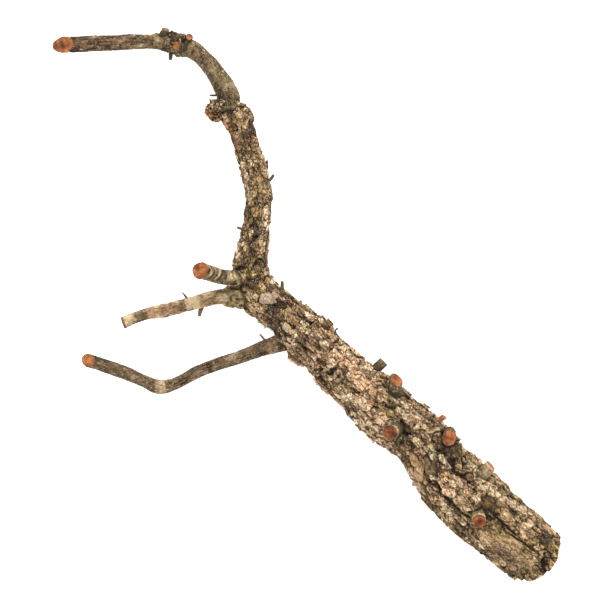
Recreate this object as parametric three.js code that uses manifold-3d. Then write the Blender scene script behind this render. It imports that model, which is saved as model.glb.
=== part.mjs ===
// A fallen branch, sawn off its tree, pruned of its side branches and lying on the ground.
// Millimetres, +Z up. +X runs from the sawn butt to the hooked tip, and the origin is on the
// ground under the middle of the branch.

import * as THREE from 'three';
import { mergeVertices } from 'three/addons/utils/BufferGeometryUtils.js';
import Module from 'manifold-3d';

const wasm = await Module();
wasm.setup();

// Fit and fineness
const GAP = 0.3; // left between pieces that meet
const CLEARANCE = 0.4; // how far a neighbour's corners move out, so that its faces clear by GAP
const MERGE = 1e-3; // corners nearer than this are one
const BLOCK = 1200; // side of the block that a saw cut or the ground takes away
const LIMB = { sides: 24, step: 9.5 };
const CROOK = { sides: 14, step: 9 };
const TWIG = { sides: 12, step: 9 };
const STUB = { sides: 12, step: 7 };
const SHOOT = { sides: 6, step: 4 };
const LOBE = { sides: 14, rings: 9 };
const ROUGHNESS = 0.95;

// Form of the old bark round the stem
const OVAL = { share: 0.012, lobes: 2, twist: 0.1 };
const FLUTE = { share: 0.012, lobes: 3, twist: -0.15 };
const COLLAR = { rise: 3, reach: 14 }; // swelling of the stem round each pruned stub
const STUB_FLARE = 1.15; // how much thicker a stub is at its root

// Each route is a list of points on the pith, from the thick end to the thin one:
// x, y, z and the radius of the limb there.
const STEM_ROUTE = [
  [-455, -35, 38.5, 40],
  [-400, -34, 38.5, 40.5],
  [-340, -27.5, 40, 41.5],
  [-270, -27.8, 38, 40.8],
  [-220, -33, 32.5, 34],
  [-170, -30.5, 33.5, 35],
  [-110, -26, 30, 31.5],
  [-65, -25, 25.5, 26.8],
  [-42, -25, 30, 31.5],
  [-15, -26, 27, 28],
  [10, -26.5, 24.5, 24],
  [36, -20.5, 27, 26],
  [56, -21.5, 29, 25.5],
  [80.5, -46.5, 31, 19.5],
  [105.5, -80.5, 29, 16.5],
  [132.5, -109.5, 27, 16.5],
  [182.5, -139.5, 24, 15.2],
  [203, -149, 24, 16.5],
  [215, -153, 23, 17.5],
  [229, -158, 22, 12],
];
const CROOK_ROUTE = [
  [221, -149, 30, 12.6],
  [241.5, -166, 19, 13],
  [279.3, -175.8, 12, 10.7],
  [304.6, -175.6, 18, 10.7],
  [325, -167, 22, 12.2],
  [345, -151, 26, 9.5],
  [384.3, -108.3, 31, 9.4],
  [441.4, -45.4, 39, 9.6],
];
const SHORT_TWIG_ROUTE = [
  [67, -26, 42, 10],
  [84, -8.8, 58, 9],
  [95.4, -1.4, 76, 9],
  [110.2, 6.8, 95, 9.8],
  [119.5, 12, 108, 9.8],
];
const MIDDLE_TWIG_ROUTE = [
  [56, -6, 34, 14.5],
  [66.5, 6, 37, 11.5],
  [77, 18, 41, 8.7],
  [104.3, 64.7, 45, 8.4],
  [122.2, 92.8, 48, 7.1],
  [140.1, 132.9, 50, 6.9],
];
const LOWER_TWIG_ROUTE = [
  [-23, -12, 30, 13],
  [-6.5, 22.5, 25, 9],
  [9, 55, 18, 8.1],
  [27, 92, 12, 7.5],
  [40, 131.5, 8.5, 7.7],
  [50, 145, 8.5, 9.1],
  [65, 151.5, 10, 7.8],
  [88, 160, 16, 7.8],
  [148, 188, 34, 7.8],
];

// Sawn faces: a point on the cut, and the way the cut looks
const BUTT_CUT = { at: [-431, -34, 80], facing: [-1, -0.02, -0.6] };
const FORK_CUT = { at: [60, -30, 30], facing: [0.85, -0.52, 0] };
const CROOK_CUT = { at: [419.4, -70, 38], facing: [0.34, 0.37, 0.865] };
const SHORT_TWIG_CUT = { at: [110.2, 6.8, 94], facing: [0.35, 0.2, 0.9] };
const MIDDLE_TWIG_CUT = { at: [134, 117, 49], facing: [0.45, 0.9, 0] };
const LOWER_TWIG_CUT = { at: [130.7, 180, 30], facing: [0.48, 0.225, 0.85] };

// The knob at the hooked end of the old wood: two lobes that grew over a lost leader
const KNOB_LOBES = [
  { at: [235.6, -143.8, 25], size: [12.6, 14.6, 18.5] },
  { at: [211.5, -162.4, 24], size: [16.4, 9.8, 16.5] },
];

// Pruned side branches: where the pith leaves the wood, where it was sawn and how thick it is
const TRUNK_STUBS = {
  stub_1: { root: [-120, -45, 34], tip: [-120.5, -71, 37], radius: 6.6, facing: [0, -1, 0.05] },
  stub_2: { root: [-156, -50, 54], tip: [-144, -66, 73], radius: 8, facing: [0, -0.7, 0.7] },
  stub_3: { root: [-186.5, -27.5, 56], tip: [-181.5, -17, 83], radius: 9.1, facing: [0.1, 0.3, 0.95] },
  stub_4: { root: [-216, -58, 42], tip: [-217, -75, 50], radius: 3.4, facing: [0.2, -0.9, 0.4] },
  stub_5: { root: [-241.5, -55.5, 50], tip: [-237.5, -61.5, 69], radius: 8.7, facing: [0, -0.5, 0.87] },
  stub_6: { root: [-295, -50, 54], tip: [-295.5, -73, 65], radius: 7.8, facing: [0, -0.97, 0.25] },
  stub_7: { root: [-285, -42, 66], tip: [-285, -46, 85], radius: 4, facing: [0, -0.3, 0.95] },
  stub_8: { root: [-326, -22, 70], tip: [-328, -17.2, 91], radius: 8.8, facing: [-0.15, 0.2, 0.97] },
  stub_9: { root: [-229, -17, 54], tip: [-229, -11, 70], radius: 4.8, facing: [0, 0.6, 0.8] },
  stub_10: { root: [-243, -9.5, 54], tip: [-244, -3, 68], radius: 5.6, facing: [0, 0.7, 0.7] },
};
const CROOK_STUBS = {
  crook_stub_1: { root: [341, -154, 25], tip: [348.5, -169, 31], radius: 4.8, facing: [0.5, -0.8, 0.3] },
  crook_stub_2: { root: [321, -169, 22], tip: [325, -162.5, 36], radius: 5, facing: [0.3, 0.4, 0.85] },
  crook_stub_3: { root: [319, -178, 22], tip: [321, -181.5, 34], radius: 4.3, facing: [0, -0.7, 0.7] },
};

// Thin shoots: the limb that each grows from, and its route
const SHOOTS = {
  shoot_1: ['stem', [18, -38, 38, 2.8], [28, -47, 52, 2.4], [35.5, -54.5, 61, 2]],
  shoot_2: ['stem', [-48, -44, 37, 1.4], [-47, -54, 43, 1.2], [-44, -60, 47, 1]],
  shoot_3: ['stem', [-56, -44, 37, 1.8], [-55, -53, 41, 1.7], [-52, -61, 45, 1.5]],
  shoot_4: ['lower_twig', [-8, 13, 27, 1.4], [1, 12, 38, 1.2], [9, 11, 44, 1]],
  shoot_5: ['middle_twig', [96, 44, 44, 1.6], [102, 42, 49, 1.4], [108, 41, 54, 1.1]],
  shoot_6: ['middle_twig', [86, 29, 42, 3.4], [81, 38, 36, 2.9], [74, 49, 30, 2.4]],
  shoot_7: ['stem', [104, -69, 34, 1.8], [112, -63, 36, 1.6], [118, -60, 38, 1.3]],
  shoot_8: ['stem', [131, -118, 30, 2.8], [131, -129, 32, 2.5], [132, -138, 34, 2]],
  shoot_9: ['crook_limb', [244, -168, 16, 1.5], [249, -156, 24, 1.2], [256, -148, 28, 1]],
  shoot_10: ['crook_limb', [332, -162, 23, 3], [325, -153, 24, 2.7], [319, -146, 24, 2.3]],
};

const COLOURS = {
  trunk: 0x886c4b,
  upper_limb: 0x846b4c,
  crook_limb: 0x807055,
  short_twig: 0x816f4d,
  middle_twig: 0xa48b6b,
  lower_twig: 0x735f48,
  stub: 0x84583a,
  shoot: 0x6b5238,
};

const vector = ([x, y, z]) => new THREE.Vector3(x, y, z);

// Solids

function merged(geometry) {
  geometry.deleteAttribute('normal');
  geometry.deleteAttribute('uv');
  return mergeVertices(geometry, MERGE);
}

function toSolid(geometry) {
  const vertProperties = new Float32Array(geometry.attributes.position.array);
  const triVerts = new Uint32Array(geometry.index.array);
  return new wasm.Manifold(new wasm.Mesh({ numProp: 3, vertProperties, triVerts }));
}

function toGeometry(solid) {
  const { vertProperties, triVerts } = solid.getMesh();
  const geometry = new THREE.BufferGeometry();
  geometry.setAttribute('position', new THREE.BufferAttribute(vertProperties, 3));
  geometry.setIndex(new THREE.BufferAttribute(triVerts, 1));
  return geometry;
}

// The same shape with every corner moved out along its normal
function grown(geometry, distance) {
  const larger = geometry.clone();
  larger.computeVertexNormals();
  const { position, normal } = larger.attributes;
  const corner = new THREE.Vector3();
  const outward = new THREE.Vector3();
  for (let i = 0; i < position.count; i += 1) {
    outward.fromBufferAttribute(normal, i);
    corner.fromBufferAttribute(position, i).addScaledVector(outward, distance);
    position.setXYZ(i, corner.x, corner.y, corner.z);
  }
  return larger;
}

// Everything beyond a plane, near enough: a block whose one face lies on it
function beyond({ at, facing }) {
  const block = new THREE.BoxGeometry(BLOCK, BLOCK, BLOCK);
  block.translate(0, 0, BLOCK / 2);
  const up = new THREE.Vector3(0, 0, 1);
  const way = vector(facing).normalize();
  block.applyQuaternion(new THREE.Quaternion().setFromUnitVectors(up, way));
  block.translate(...at);
  return toSolid(merged(block));
}

const ground = beyond({ at: [0, 0, 0], facing: [0, 0, -1] });

// A piece is its solid, and the room that its neighbours leave for it
function joined(geometries) {
  const unite = (solids) => solids.reduce((whole, solid) => whole.add(solid));
  return {
    solid: unite(geometries.map(toSolid)).subtract(ground),
    room: unite(geometries.map((geometry) => toSolid(grown(geometry, CLEARANCE)))),
  };
}

// Limbs

// How far the old bark stands out from a round stem
function barkSwell(angle, ring, corner, radius) {
  const oval = OVAL.share * Math.cos(OVAL.lobes * angle + OVAL.twist * ring);
  const flute = FLUTE.share * Math.cos(FLUTE.lobes * angle + FLUTE.twist * ring);
  const collars = Object.values(TRUNK_STUBS).map(({ root }) => {
    const away = corner.distanceTo(vector(root)) / COLLAR.reach;
    return COLLAR.rise * Math.exp(-away * away);
  });
  return collars.reduce((sum, rise) => sum + rise, (oval + flute) * radius);
}

// A turned bar with one ring of corners for each step, bent along the limb's pith
function limb(route, { sides, step }, swell = () => 0) {
  const pith = new THREE.CatmullRomCurve3(route.map(vector));
  const girth = new THREE.SplineCurve(route.map((point, i) => new THREE.Vector2(i, point[3])));
  const rings = Math.max(2, Math.round(pith.getLength() / step));
  const radii = [];
  for (let ring = 0; ring <= rings; ring += 1) {
    radii.push(girth.getPoint(pith.getUtoTmapping(ring / rings)).y);
  }
  const profile = radii.map((radius, ring) => new THREE.Vector2(radius, ring));
  profile.unshift(new THREE.Vector2(0, 0));
  profile.push(new THREE.Vector2(0, rings));
  const geometry = merged(new THREE.LatheGeometry(profile, sides));
  const { position } = geometry.attributes;
  const frames = pith.computeFrenetFrames(rings, false);
  const corner = new THREE.Vector3();
  const outward = new THREE.Vector3();
  for (let i = 0; i < position.count; i += 1) {
    const x = position.getX(i);
    const z = position.getZ(i);
    const ring = Math.round(position.getY(i));
    outward.copy(frames.binormals[ring]).multiplyScalar(x);
    outward.addScaledVector(frames.normals[ring], z);
    corner.copy(pith.getPointAt(ring / rings)).add(outward);
    if (outward.length() > MERGE) {
      const rise = swell(Math.atan2(x, z), ring, corner, radii[ring]);
      corner.addScaledVector(outward.normalize(), rise);
    }
    position.setXYZ(i, corner.x, corner.y, corner.z);
  }
  return geometry;
}

// A round lobe of the knob
function lobe({ at, size }) {
  const geometry = new THREE.SphereGeometry(1, LOBE.sides, LOBE.rings);
  geometry.scale(...size);
  geometry.translate(...at);
  return merged(geometry);
}

// A side branch fits its parent's surface and ends in a saw cut
function sideBranch(route, fineness, parent, cut) {
  const piece = joined([limb(route, fineness)]);
  const fitted = piece.solid.subtract(parent.room);
  return { solid: cut ? fitted.subtract(beyond(cut)) : fitted, room: piece.room };
}

function stub({ root, tip, radius, facing }, parent) {
  const past = vector(tip).sub(vector(root)).setLength(radius).add(vector(tip));
  const route = [
    [...root, radius * STUB_FLARE],
    [...tip, radius],
    [...past, radius],
  ];
  return sideBranch(route, STUB, parent, { at: tip, facing });
}

// Assembly

const branch = new THREE.Group();

function place(group, name, { solid }, root, color) {
  const geometry = toGeometry(solid);
  const [x, y, z] = root;
  geometry.translate(-x, -y, -z);
  const material = new THREE.MeshStandardMaterial({ color, roughness: ROUGHNESS, metalness: 0 });
  const mesh = new THREE.Mesh(geometry, material);
  mesh.name = name;
  mesh.position.set(x, y, z);
  group.add(mesh);
}

// The old wood is one growth, parted at the fork
const stem = joined([limb(STEM_ROUTE, LIMB, barkSwell), ...KNOB_LOBES.map(lobe)]);
const forkWay = vector(FORK_CUT.facing).normalize();
const pastFork = vector(FORK_CUT.at).addScaledVector(forkWay, GAP);
const otherSide = { at: pastFork.toArray(), facing: forkWay.negate().toArray() };
const trunk = { solid: stem.solid.subtract(beyond(FORK_CUT)).subtract(beyond(BUTT_CUT)) };
const upperLimb = { solid: stem.solid.subtract(beyond(otherSide)) };
place(branch, 'trunk', trunk, STEM_ROUTE[0], COLOURS.trunk);
place(branch, 'upper_limb', upperLimb, FORK_CUT.at, COLOURS.upper_limb);

// Side branches that were left long
const hosts = { stem };
hosts.crook_limb = sideBranch(CROOK_ROUTE, CROOK, stem, CROOK_CUT);
hosts.middle_twig = sideBranch(MIDDLE_TWIG_ROUTE, TWIG, stem, MIDDLE_TWIG_CUT);
hosts.lower_twig = sideBranch(LOWER_TWIG_ROUTE, TWIG, stem, LOWER_TWIG_CUT);
hosts.short_twig = sideBranch(SHORT_TWIG_ROUTE, TWIG, stem, SHORT_TWIG_CUT);
place(branch, 'crook_limb', hosts.crook_limb, CROOK_ROUTE[0], COLOURS.crook_limb);
place(branch, 'short_twig', hosts.short_twig, SHORT_TWIG_ROUTE[0], COLOURS.short_twig);
place(branch, 'middle_twig', hosts.middle_twig, MIDDLE_TWIG_ROUTE[0], COLOURS.middle_twig);
place(branch, 'lower_twig', hosts.lower_twig, LOWER_TWIG_ROUTE[0], COLOURS.lower_twig);

// Side branches that were pruned short
const stubs = new THREE.Group();
branch.add(stubs);
for (const [name, spec] of Object.entries(TRUNK_STUBS)) {
  place(stubs, name, stub(spec, stem), spec.root, COLOURS.stub);
}
for (const [name, spec] of Object.entries(CROOK_STUBS)) {
  place(stubs, name, stub(spec, hosts.crook_limb), spec.root, COLOURS.stub);
}

// Thin shoots
const shoots = new THREE.Group();
branch.add(shoots);
for (const [name, [host, ...route]] of Object.entries(SHOOTS)) {
  place(shoots, name, sideBranch(route, SHOOT, hosts[host]), route[0], COLOURS.shoot);
}

export default branch;
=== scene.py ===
"""The looks of a fallen, pruned branch: bark, sawn wood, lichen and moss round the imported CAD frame.

Shapes are worked out in millimetres in the row frame and written to meshes in metres."""

import math

import bpy
import numpy as np
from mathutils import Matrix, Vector


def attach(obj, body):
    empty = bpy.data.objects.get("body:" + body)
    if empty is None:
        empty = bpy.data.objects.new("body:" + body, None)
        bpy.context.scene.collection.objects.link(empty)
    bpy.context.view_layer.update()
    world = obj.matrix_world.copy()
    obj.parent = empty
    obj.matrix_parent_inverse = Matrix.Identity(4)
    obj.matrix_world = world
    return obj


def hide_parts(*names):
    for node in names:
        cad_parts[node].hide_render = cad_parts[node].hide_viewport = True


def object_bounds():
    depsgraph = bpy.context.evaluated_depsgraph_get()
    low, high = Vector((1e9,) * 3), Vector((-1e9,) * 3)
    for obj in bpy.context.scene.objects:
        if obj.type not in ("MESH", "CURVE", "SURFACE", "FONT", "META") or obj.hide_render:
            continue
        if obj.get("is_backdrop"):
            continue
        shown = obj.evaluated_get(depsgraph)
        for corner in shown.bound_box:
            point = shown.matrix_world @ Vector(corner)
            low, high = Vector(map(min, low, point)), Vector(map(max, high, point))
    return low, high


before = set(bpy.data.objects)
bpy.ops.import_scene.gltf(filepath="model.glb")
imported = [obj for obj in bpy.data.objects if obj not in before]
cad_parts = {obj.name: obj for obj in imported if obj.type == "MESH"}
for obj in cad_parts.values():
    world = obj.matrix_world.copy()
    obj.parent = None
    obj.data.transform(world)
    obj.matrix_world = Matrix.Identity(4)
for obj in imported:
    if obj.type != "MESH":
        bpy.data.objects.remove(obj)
cad_low, cad_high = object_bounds()

MM = 0.001
UP = np.array([0.0, 0.0, 1.0])
TURN = 2 * math.pi

# The limbs' routes, the same as the CAD model's: x, y, z and radius in mm, from the thick end to
# the thin one
STEM_ROUTE = [
    (-455, -35, 38.5, 40),
    (-400, -34, 38.5, 40.5),
    (-340, -27.5, 40, 41.5),
    (-270, -27.8, 38, 40.8),
    (-220, -33, 32.5, 34),
    (-170, -30.5, 33.5, 35),
    (-110, -26, 30, 31.5),
    (-65, -25, 25.5, 26.8),
    (-42, -25, 30, 31.5),
    (-15, -26, 27, 28),
    (10, -26.5, 24.5, 24),
    (36, -20.5, 27, 26),
    (56, -21.5, 29, 25.5),
    (80.5, -46.5, 31, 19.5),
    (105.5, -80.5, 29, 16.5),
    (132.5, -109.5, 27, 16.5),
    (182.5, -139.5, 24, 15.2),
    (203, -149, 24, 16.5),
    (215, -153, 23, 17.5),
    (229, -158, 22, 12),
]
CROOK_ROUTE = [
    (221, -149, 30, 12.6),
    (241.5, -166, 19, 13),
    (279.3, -175.8, 12, 10.7),
    (304.6, -175.6, 18, 10.7),
    (325, -167, 22, 12.2),
    (345, -151, 26, 9.5),
    (384.3, -108.3, 31, 9.4),
    (441.4, -45.4, 39, 9.6),
]
SHORT_TWIG_ROUTE = [
    (67, -26, 42, 10),
    (84, -8.8, 58, 9),
    (95.4, -1.4, 76, 9),
    (110.2, 6.8, 95, 9.8),
    (119.5, 12, 108, 9.8),
]
MIDDLE_TWIG_ROUTE = [
    (56, -6, 34, 14.5),
    (66.5, 6, 37, 11.5),
    (77, 18, 41, 8.7),
    (104.3, 64.7, 45, 8.4),
    (122.2, 92.8, 48, 7.1),
    (140.1, 132.9, 50, 6.9),
]
LOWER_TWIG_ROUTE = [
    (-23, -12, 30, 13),
    (-6.5, 22.5, 25, 9),
    (9, 55, 18, 8.1),
    (27, 92, 12, 7.5),
    (40, 131.5, 8.5, 7.7),
    (50, 145, 8.5, 9.1),
    (65, 151.5, 10, 7.8),
    (88, 160, 16, 7.8),
    (148, 188, 34, 7.8),
]

# The knob's two lobes: the middle of each, and its half sizes
KNOB = [
    (np.array([235.6, -143.8, 25]), np.array([12.6, 14.6, 18.5])),
    (np.array([211.5, -162.4, 24]), np.array([16.4, 9.8, 16.5])),
]

# Places on the younger limbs: the node of the hooked limb, a bump on the middle twig and the bend
# of the lower one
CROOK_NODE = (330, -163, 22)
MIDDLE_BUMP = (108, 60, 52)
LOWER_BEND = (50, 144, 8)

TRUNK_STUBS = [f"stub_{i}" for i in range(1, 11)]
CROOK_STUBS = [f"crook_stub_{i}" for i in range(1, 4)]
SHOOTS = [f"shoot_{i}" for i in range(1, 11)]


# ---------------------------------------------------------------- noise


def lattice(cell, seed):
    """A repeatable 32-bit number for each whole-number point."""
    n = cell[..., 0] * 374761393 + cell[..., 1] * 668265263 + cell[..., 2] * 1440662683
    n = (n + seed * 974634777) & 0xFFFFFFFF
    n = ((n ^ (n >> 13)) * 1274126177) & 0xFFFFFFFF
    n = ((n ^ (n >> 15)) * 2246822519) & 0xFFFFFFFF
    return n ^ (n >> 16)


def noise(q, seed):
    """Smooth noise from -1 to 1."""
    cell = np.floor(q).astype(np.int64)
    f = q - cell
    f = f * f * f * (f * (f * 6 - 15) + 10)
    total = 0
    for corner in np.ndindex(2, 2, 2):
        step = np.array(corner)
        weight = np.prod(np.where(step == 1, f, 1 - f), axis=-1)
        total = total + weight * (lattice(cell + step, seed) / 0x7FFFFFFF - 1)
    return total


def fbm(q, seed, octaves=4, gain=0.5):
    """Noise summed over octaves, about -1 to 1."""
    total, size, whole = 0, 1.0, 0.0
    for octave in range(octaves):
        total = total + size * noise(q * 2.03**octave + 17.3 * octave, seed + octave)
        whole += size
        size *= gain
    return total / whole * 1.6


def cells(q, seed):
    """The cells round scattered points: how far each point of q is from its cell's edge, its cell's
    random number, and the way from its cell's middle."""
    base = np.floor(q).astype(np.int64)
    near = np.full(q.shape[:-1], 9.0)
    second = near.copy()
    ident = np.zeros(q.shape[:-1])
    offset = np.zeros(q.shape)
    for corner in np.ndindex(3, 3, 3):
        cell = base + np.array(corner) - 1
        h = lattice(cell, seed)
        jitter = np.stack([h & 1023, (h >> 10) & 1023, (h >> 20) & 1023], axis=-1) / 1023
        away = q - (cell + 0.06 + 0.88 * jitter)
        distance = np.sqrt((away**2).sum(-1))
        closer = distance < near
        second = np.where(closer, near, np.minimum(second, distance))
        near = np.where(closer, distance, near)
        ident = np.where(closer, (h * 2654435761 >> 8 & 0xFFFF) / 0xFFFF, ident)
        offset = np.where(closer[..., None], away, offset)
    return second - near, ident, offset


def smooth(low, high, value):
    """0 at low, 1 at high and past it, and a smooth step between. low may be the larger."""
    t = np.clip((value - low) / (high - low), 0, 1)
    return t * t * (3 - 2 * t)


def blurred(grid, reach):
    """A grid of rings blurred over about reach cells both ways; it closes round each ring."""
    offsets = range(-2 * reach, 2 * reach + 1)
    weights = np.array([math.exp(-((k / reach) ** 2)) for k in offsets])
    weights /= weights.sum()
    rows = np.arange(len(grid))
    across = sum(w * np.roll(grid, k, axis=1) for w, k in zip(weights, offsets))
    return sum(
        w * across[np.clip(rows + k, 0, len(grid) - 1)] for w, k in zip(weights, offsets)
    )


# ---------------------------------------------------------------- limbs


SPLINE_STEPS = 60  # steps of a route's curve from each of its points to the next


def spline(route):
    """A centripetal Catmull-Rom curve through the points of a route."""
    points = np.array(route, float)
    points = np.vstack([2 * points[0] - points[1], points, 2 * points[-1] - points[-2]])
    out = []
    for p0, p1, p2, p3 in zip(points, points[1:], points[2:], points[3:]):
        knots = [0.0]
        for a, b in ((p0, p1), (p1, p2), (p2, p3)):
            knots.append(knots[-1] + math.sqrt(np.linalg.norm((b - a)[:3])))
        t0, t1, t2, t3 = knots
        t = np.linspace(t1, t2, SPLINE_STEPS, endpoint=False)[:, None]
        a1 = (t1 - t) / (t1 - t0) * p0 + (t - t0) / (t1 - t0) * p1
        a2 = (t2 - t) / (t2 - t1) * p1 + (t - t1) / (t2 - t1) * p2
        a3 = (t3 - t) / (t3 - t2) * p2 + (t - t2) / (t3 - t2) * p3
        b1 = (t2 - t) / (t2 - t0) * a1 + (t - t0) / (t2 - t0) * a2
        b2 = (t3 - t) / (t3 - t1) * a2 + (t - t1) / (t3 - t1) * a3
        out.append((t2 - t) / (t2 - t1) * b1 + (t - t1) / (t2 - t1) * b2)
    return np.vstack([*out, points[-2:-1]])


def unit(v):
    """Vectors at length 1."""
    return v / np.maximum(np.linalg.norm(v, axis=-1, keepdims=True), 1e-9)


class Limb:
    """A pith line with a radius, and the frame of its rings: angle 0 is the side nearest to up."""

    def __init__(self, route, up=UP):
        path = spline(route)
        gaps = np.linalg.norm(np.diff(path[:, :3], axis=0), axis=1)
        self.s = np.concatenate([[0], np.cumsum(gaps)])
        self.length = self.s[-1]
        self.centre, self.radius = path[:, :3], path[:, 3]
        self.along = unit(np.gradient(self.centre, self.s, axis=0))
        self.up = unit(up - (self.along @ up)[:, None] * self.along)
        self.side = np.cross(self.along, self.up)

    def read(self, field, s):
        """A field, such as radius or up, at distances along the limb."""
        table = getattr(self, field)
        if table.ndim == 1:
            return np.interp(s, self.s, table)
        return np.stack([np.interp(s, self.s, table[:, k]) for k in range(3)], axis=-1)

    def put(self, s, angle, radius):
        """Points on the rings at s, at an angle and a distance from the pith."""
        outward = np.cos(angle)[..., None] * self.read("up", s)
        outward = outward + np.sin(angle)[..., None] * self.read("side", s)
        return self.read("centre", s) + radius[..., None] * unit(outward)

    def find(self, point):
        """The s and angle of a point."""
        away = np.array(point) - self.centre
        i = int(np.argmin((away**2).sum(1)))
        angle = math.atan2(away[i] @ self.side[i], away[i] @ self.up[i])
        return self.s[i], angle

    def find_top(self, x, y):
        """The s and angle of the place on the upper side that lies over (x, y)."""
        flat = ((self.centre[:, :2] - (x, y)) ** 2).sum(1)
        i = int(np.argmin(flat))
        sideways = (np.array([x, y]) - self.centre[i, :2]) @ self.side[i, :2]
        return self.s[i], math.asin(max(-0.97, min(0.97, sideways / self.radius[i])))

    def reach(self, angle, plane, start, stop):
        """For each angle, the s where the limb's surface meets a sawn plane."""
        point, way = plane
        s = np.linspace(start, stop, 400)
        grid_s, grid_a = np.meshgrid(s, angle, indexing="ij")
        side = (self.put(grid_s, grid_a, self.read("radius", grid_s)) - point) @ way
        nearest = np.abs(side).argmin(axis=0), np.arange(len(angle))
        return s[nearest[0]] - side[nearest] / np.gradient(side, s, axis=0)[nearest]


FACING = 0.55  # how nearly a sawn face looks along its limb, as a cosine


def corners(node):
    """The corners of a CAD node, in mm."""
    return np.array([v.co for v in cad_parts[node].data.vertices], float) / MM


def sawn_face(node, toward):
    """The middle and outward way of a CAD node's largest flat face that looks toward a direction."""
    places = corners(node)
    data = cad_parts[node].data
    data.calc_loop_triangles()
    groups = {}
    for triangle in data.loop_triangles:
        a, b, c = places[list(triangle.vertices)]
        cross = np.cross(b - a, c - a)
        area = np.linalg.norm(cross) / 2
        if area < 1e-6 or cross @ unit(np.array(toward, float)) < 2 * area * FACING:
            continue
        way = cross / (2 * area)
        key = (*np.round(way, 2), round(2 * way @ a))
        groups.setdefault(key, []).append((area, (a + b + c) / 3, way))
    faces = max(groups.values(), key=lambda found: sum(f[0] for f in found))
    middle = sum(f[0] * f[1] for f in faces) / sum(f[0] for f in faces)
    return middle, unit(sum(f[0] * f[2] for f in faces))


def spine(node, slices):
    """A route through a small CAD node, from its rooted end to its free one, in mm."""
    places = corners(node)
    middle = places.mean(0)
    way = np.linalg.svd(places - middle)[2][0]
    t = (places - middle) @ way
    edges = np.linspace(t.min(), t.max(), slices + 1)
    route = []
    for low, high in zip(edges, edges[1:]):
        inside = places[(t >= low - 1e-6) & (t <= high + 1e-6)]
        if len(inside) > 3:
            centre = (inside.min(0) + inside.max(0)) / 2
            off = inside - centre
            off = off - np.outer(off @ way, way)
            route.append((*centre, float(np.percentile(np.linalg.norm(off, axis=1), 60))))
    return route


stem = Limb(STEM_ROUTE)
crook = Limb(CROOK_ROUTE)
short_twig = Limb(SHORT_TWIG_ROUTE)
middle_twig = Limb(MIDDLE_TWIG_ROUTE)
lower_twig = Limb(LOWER_TWIG_ROUTE)


# ---------------------------------------------------------------- meshes

# The second mask paints shade into cracks, furrows, hollows and saw marks, round stub roots and under
# loose flakes. The dark mask darkens the bark itself in places, and also paints shade into grooves and
# hollows.
MASKS = ("tone", "painted_shade", "moss", "pale", "bare", "dark", "rim", "grain", "warm", "calm")


def make_mesh(
    name, vertices, faces, masks, materials, face_material=None, uv=None, smooth_shaded=True
):
    """A Blender object from points in mm, with one number per point for each mask."""
    mesh = bpy.data.meshes.new(name)
    mesh.from_pydata((np.asarray(vertices) * MM).tolist(), [], faces)
    for mask in MASKS:
        values = np.broadcast_to(masks.get(mask, 0.0), (len(vertices),)).astype(np.float32)
        mesh.attributes.new(mask, "FLOAT", "POINT").data.foreach_set("value", values)
    lie = masks.get("lie", vertices)
    mesh.attributes.new("lie", "FLOAT_VECTOR", "POINT").data.foreach_set(
        "vector", (np.asarray(lie) * MM).astype(np.float32).ravel()
    )
    for material in materials:
        mesh.materials.append(material)
    if face_material is not None:
        mesh.polygons.foreach_set("material_index", np.asarray(face_material, np.int32))
    if uv is not None:
        layer = mesh.uv_layers.new(name="OFBake")
        layer.data.foreach_set("uv", np.asarray(uv, np.float32).ravel())
    mesh.polygons.foreach_set("use_smooth", [smooth_shaded] * len(mesh.polygons))
    mesh.update()
    made = bpy.data.objects.new(name, mesh)
    bpy.context.scene.collection.objects.link(made)
    return made


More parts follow.
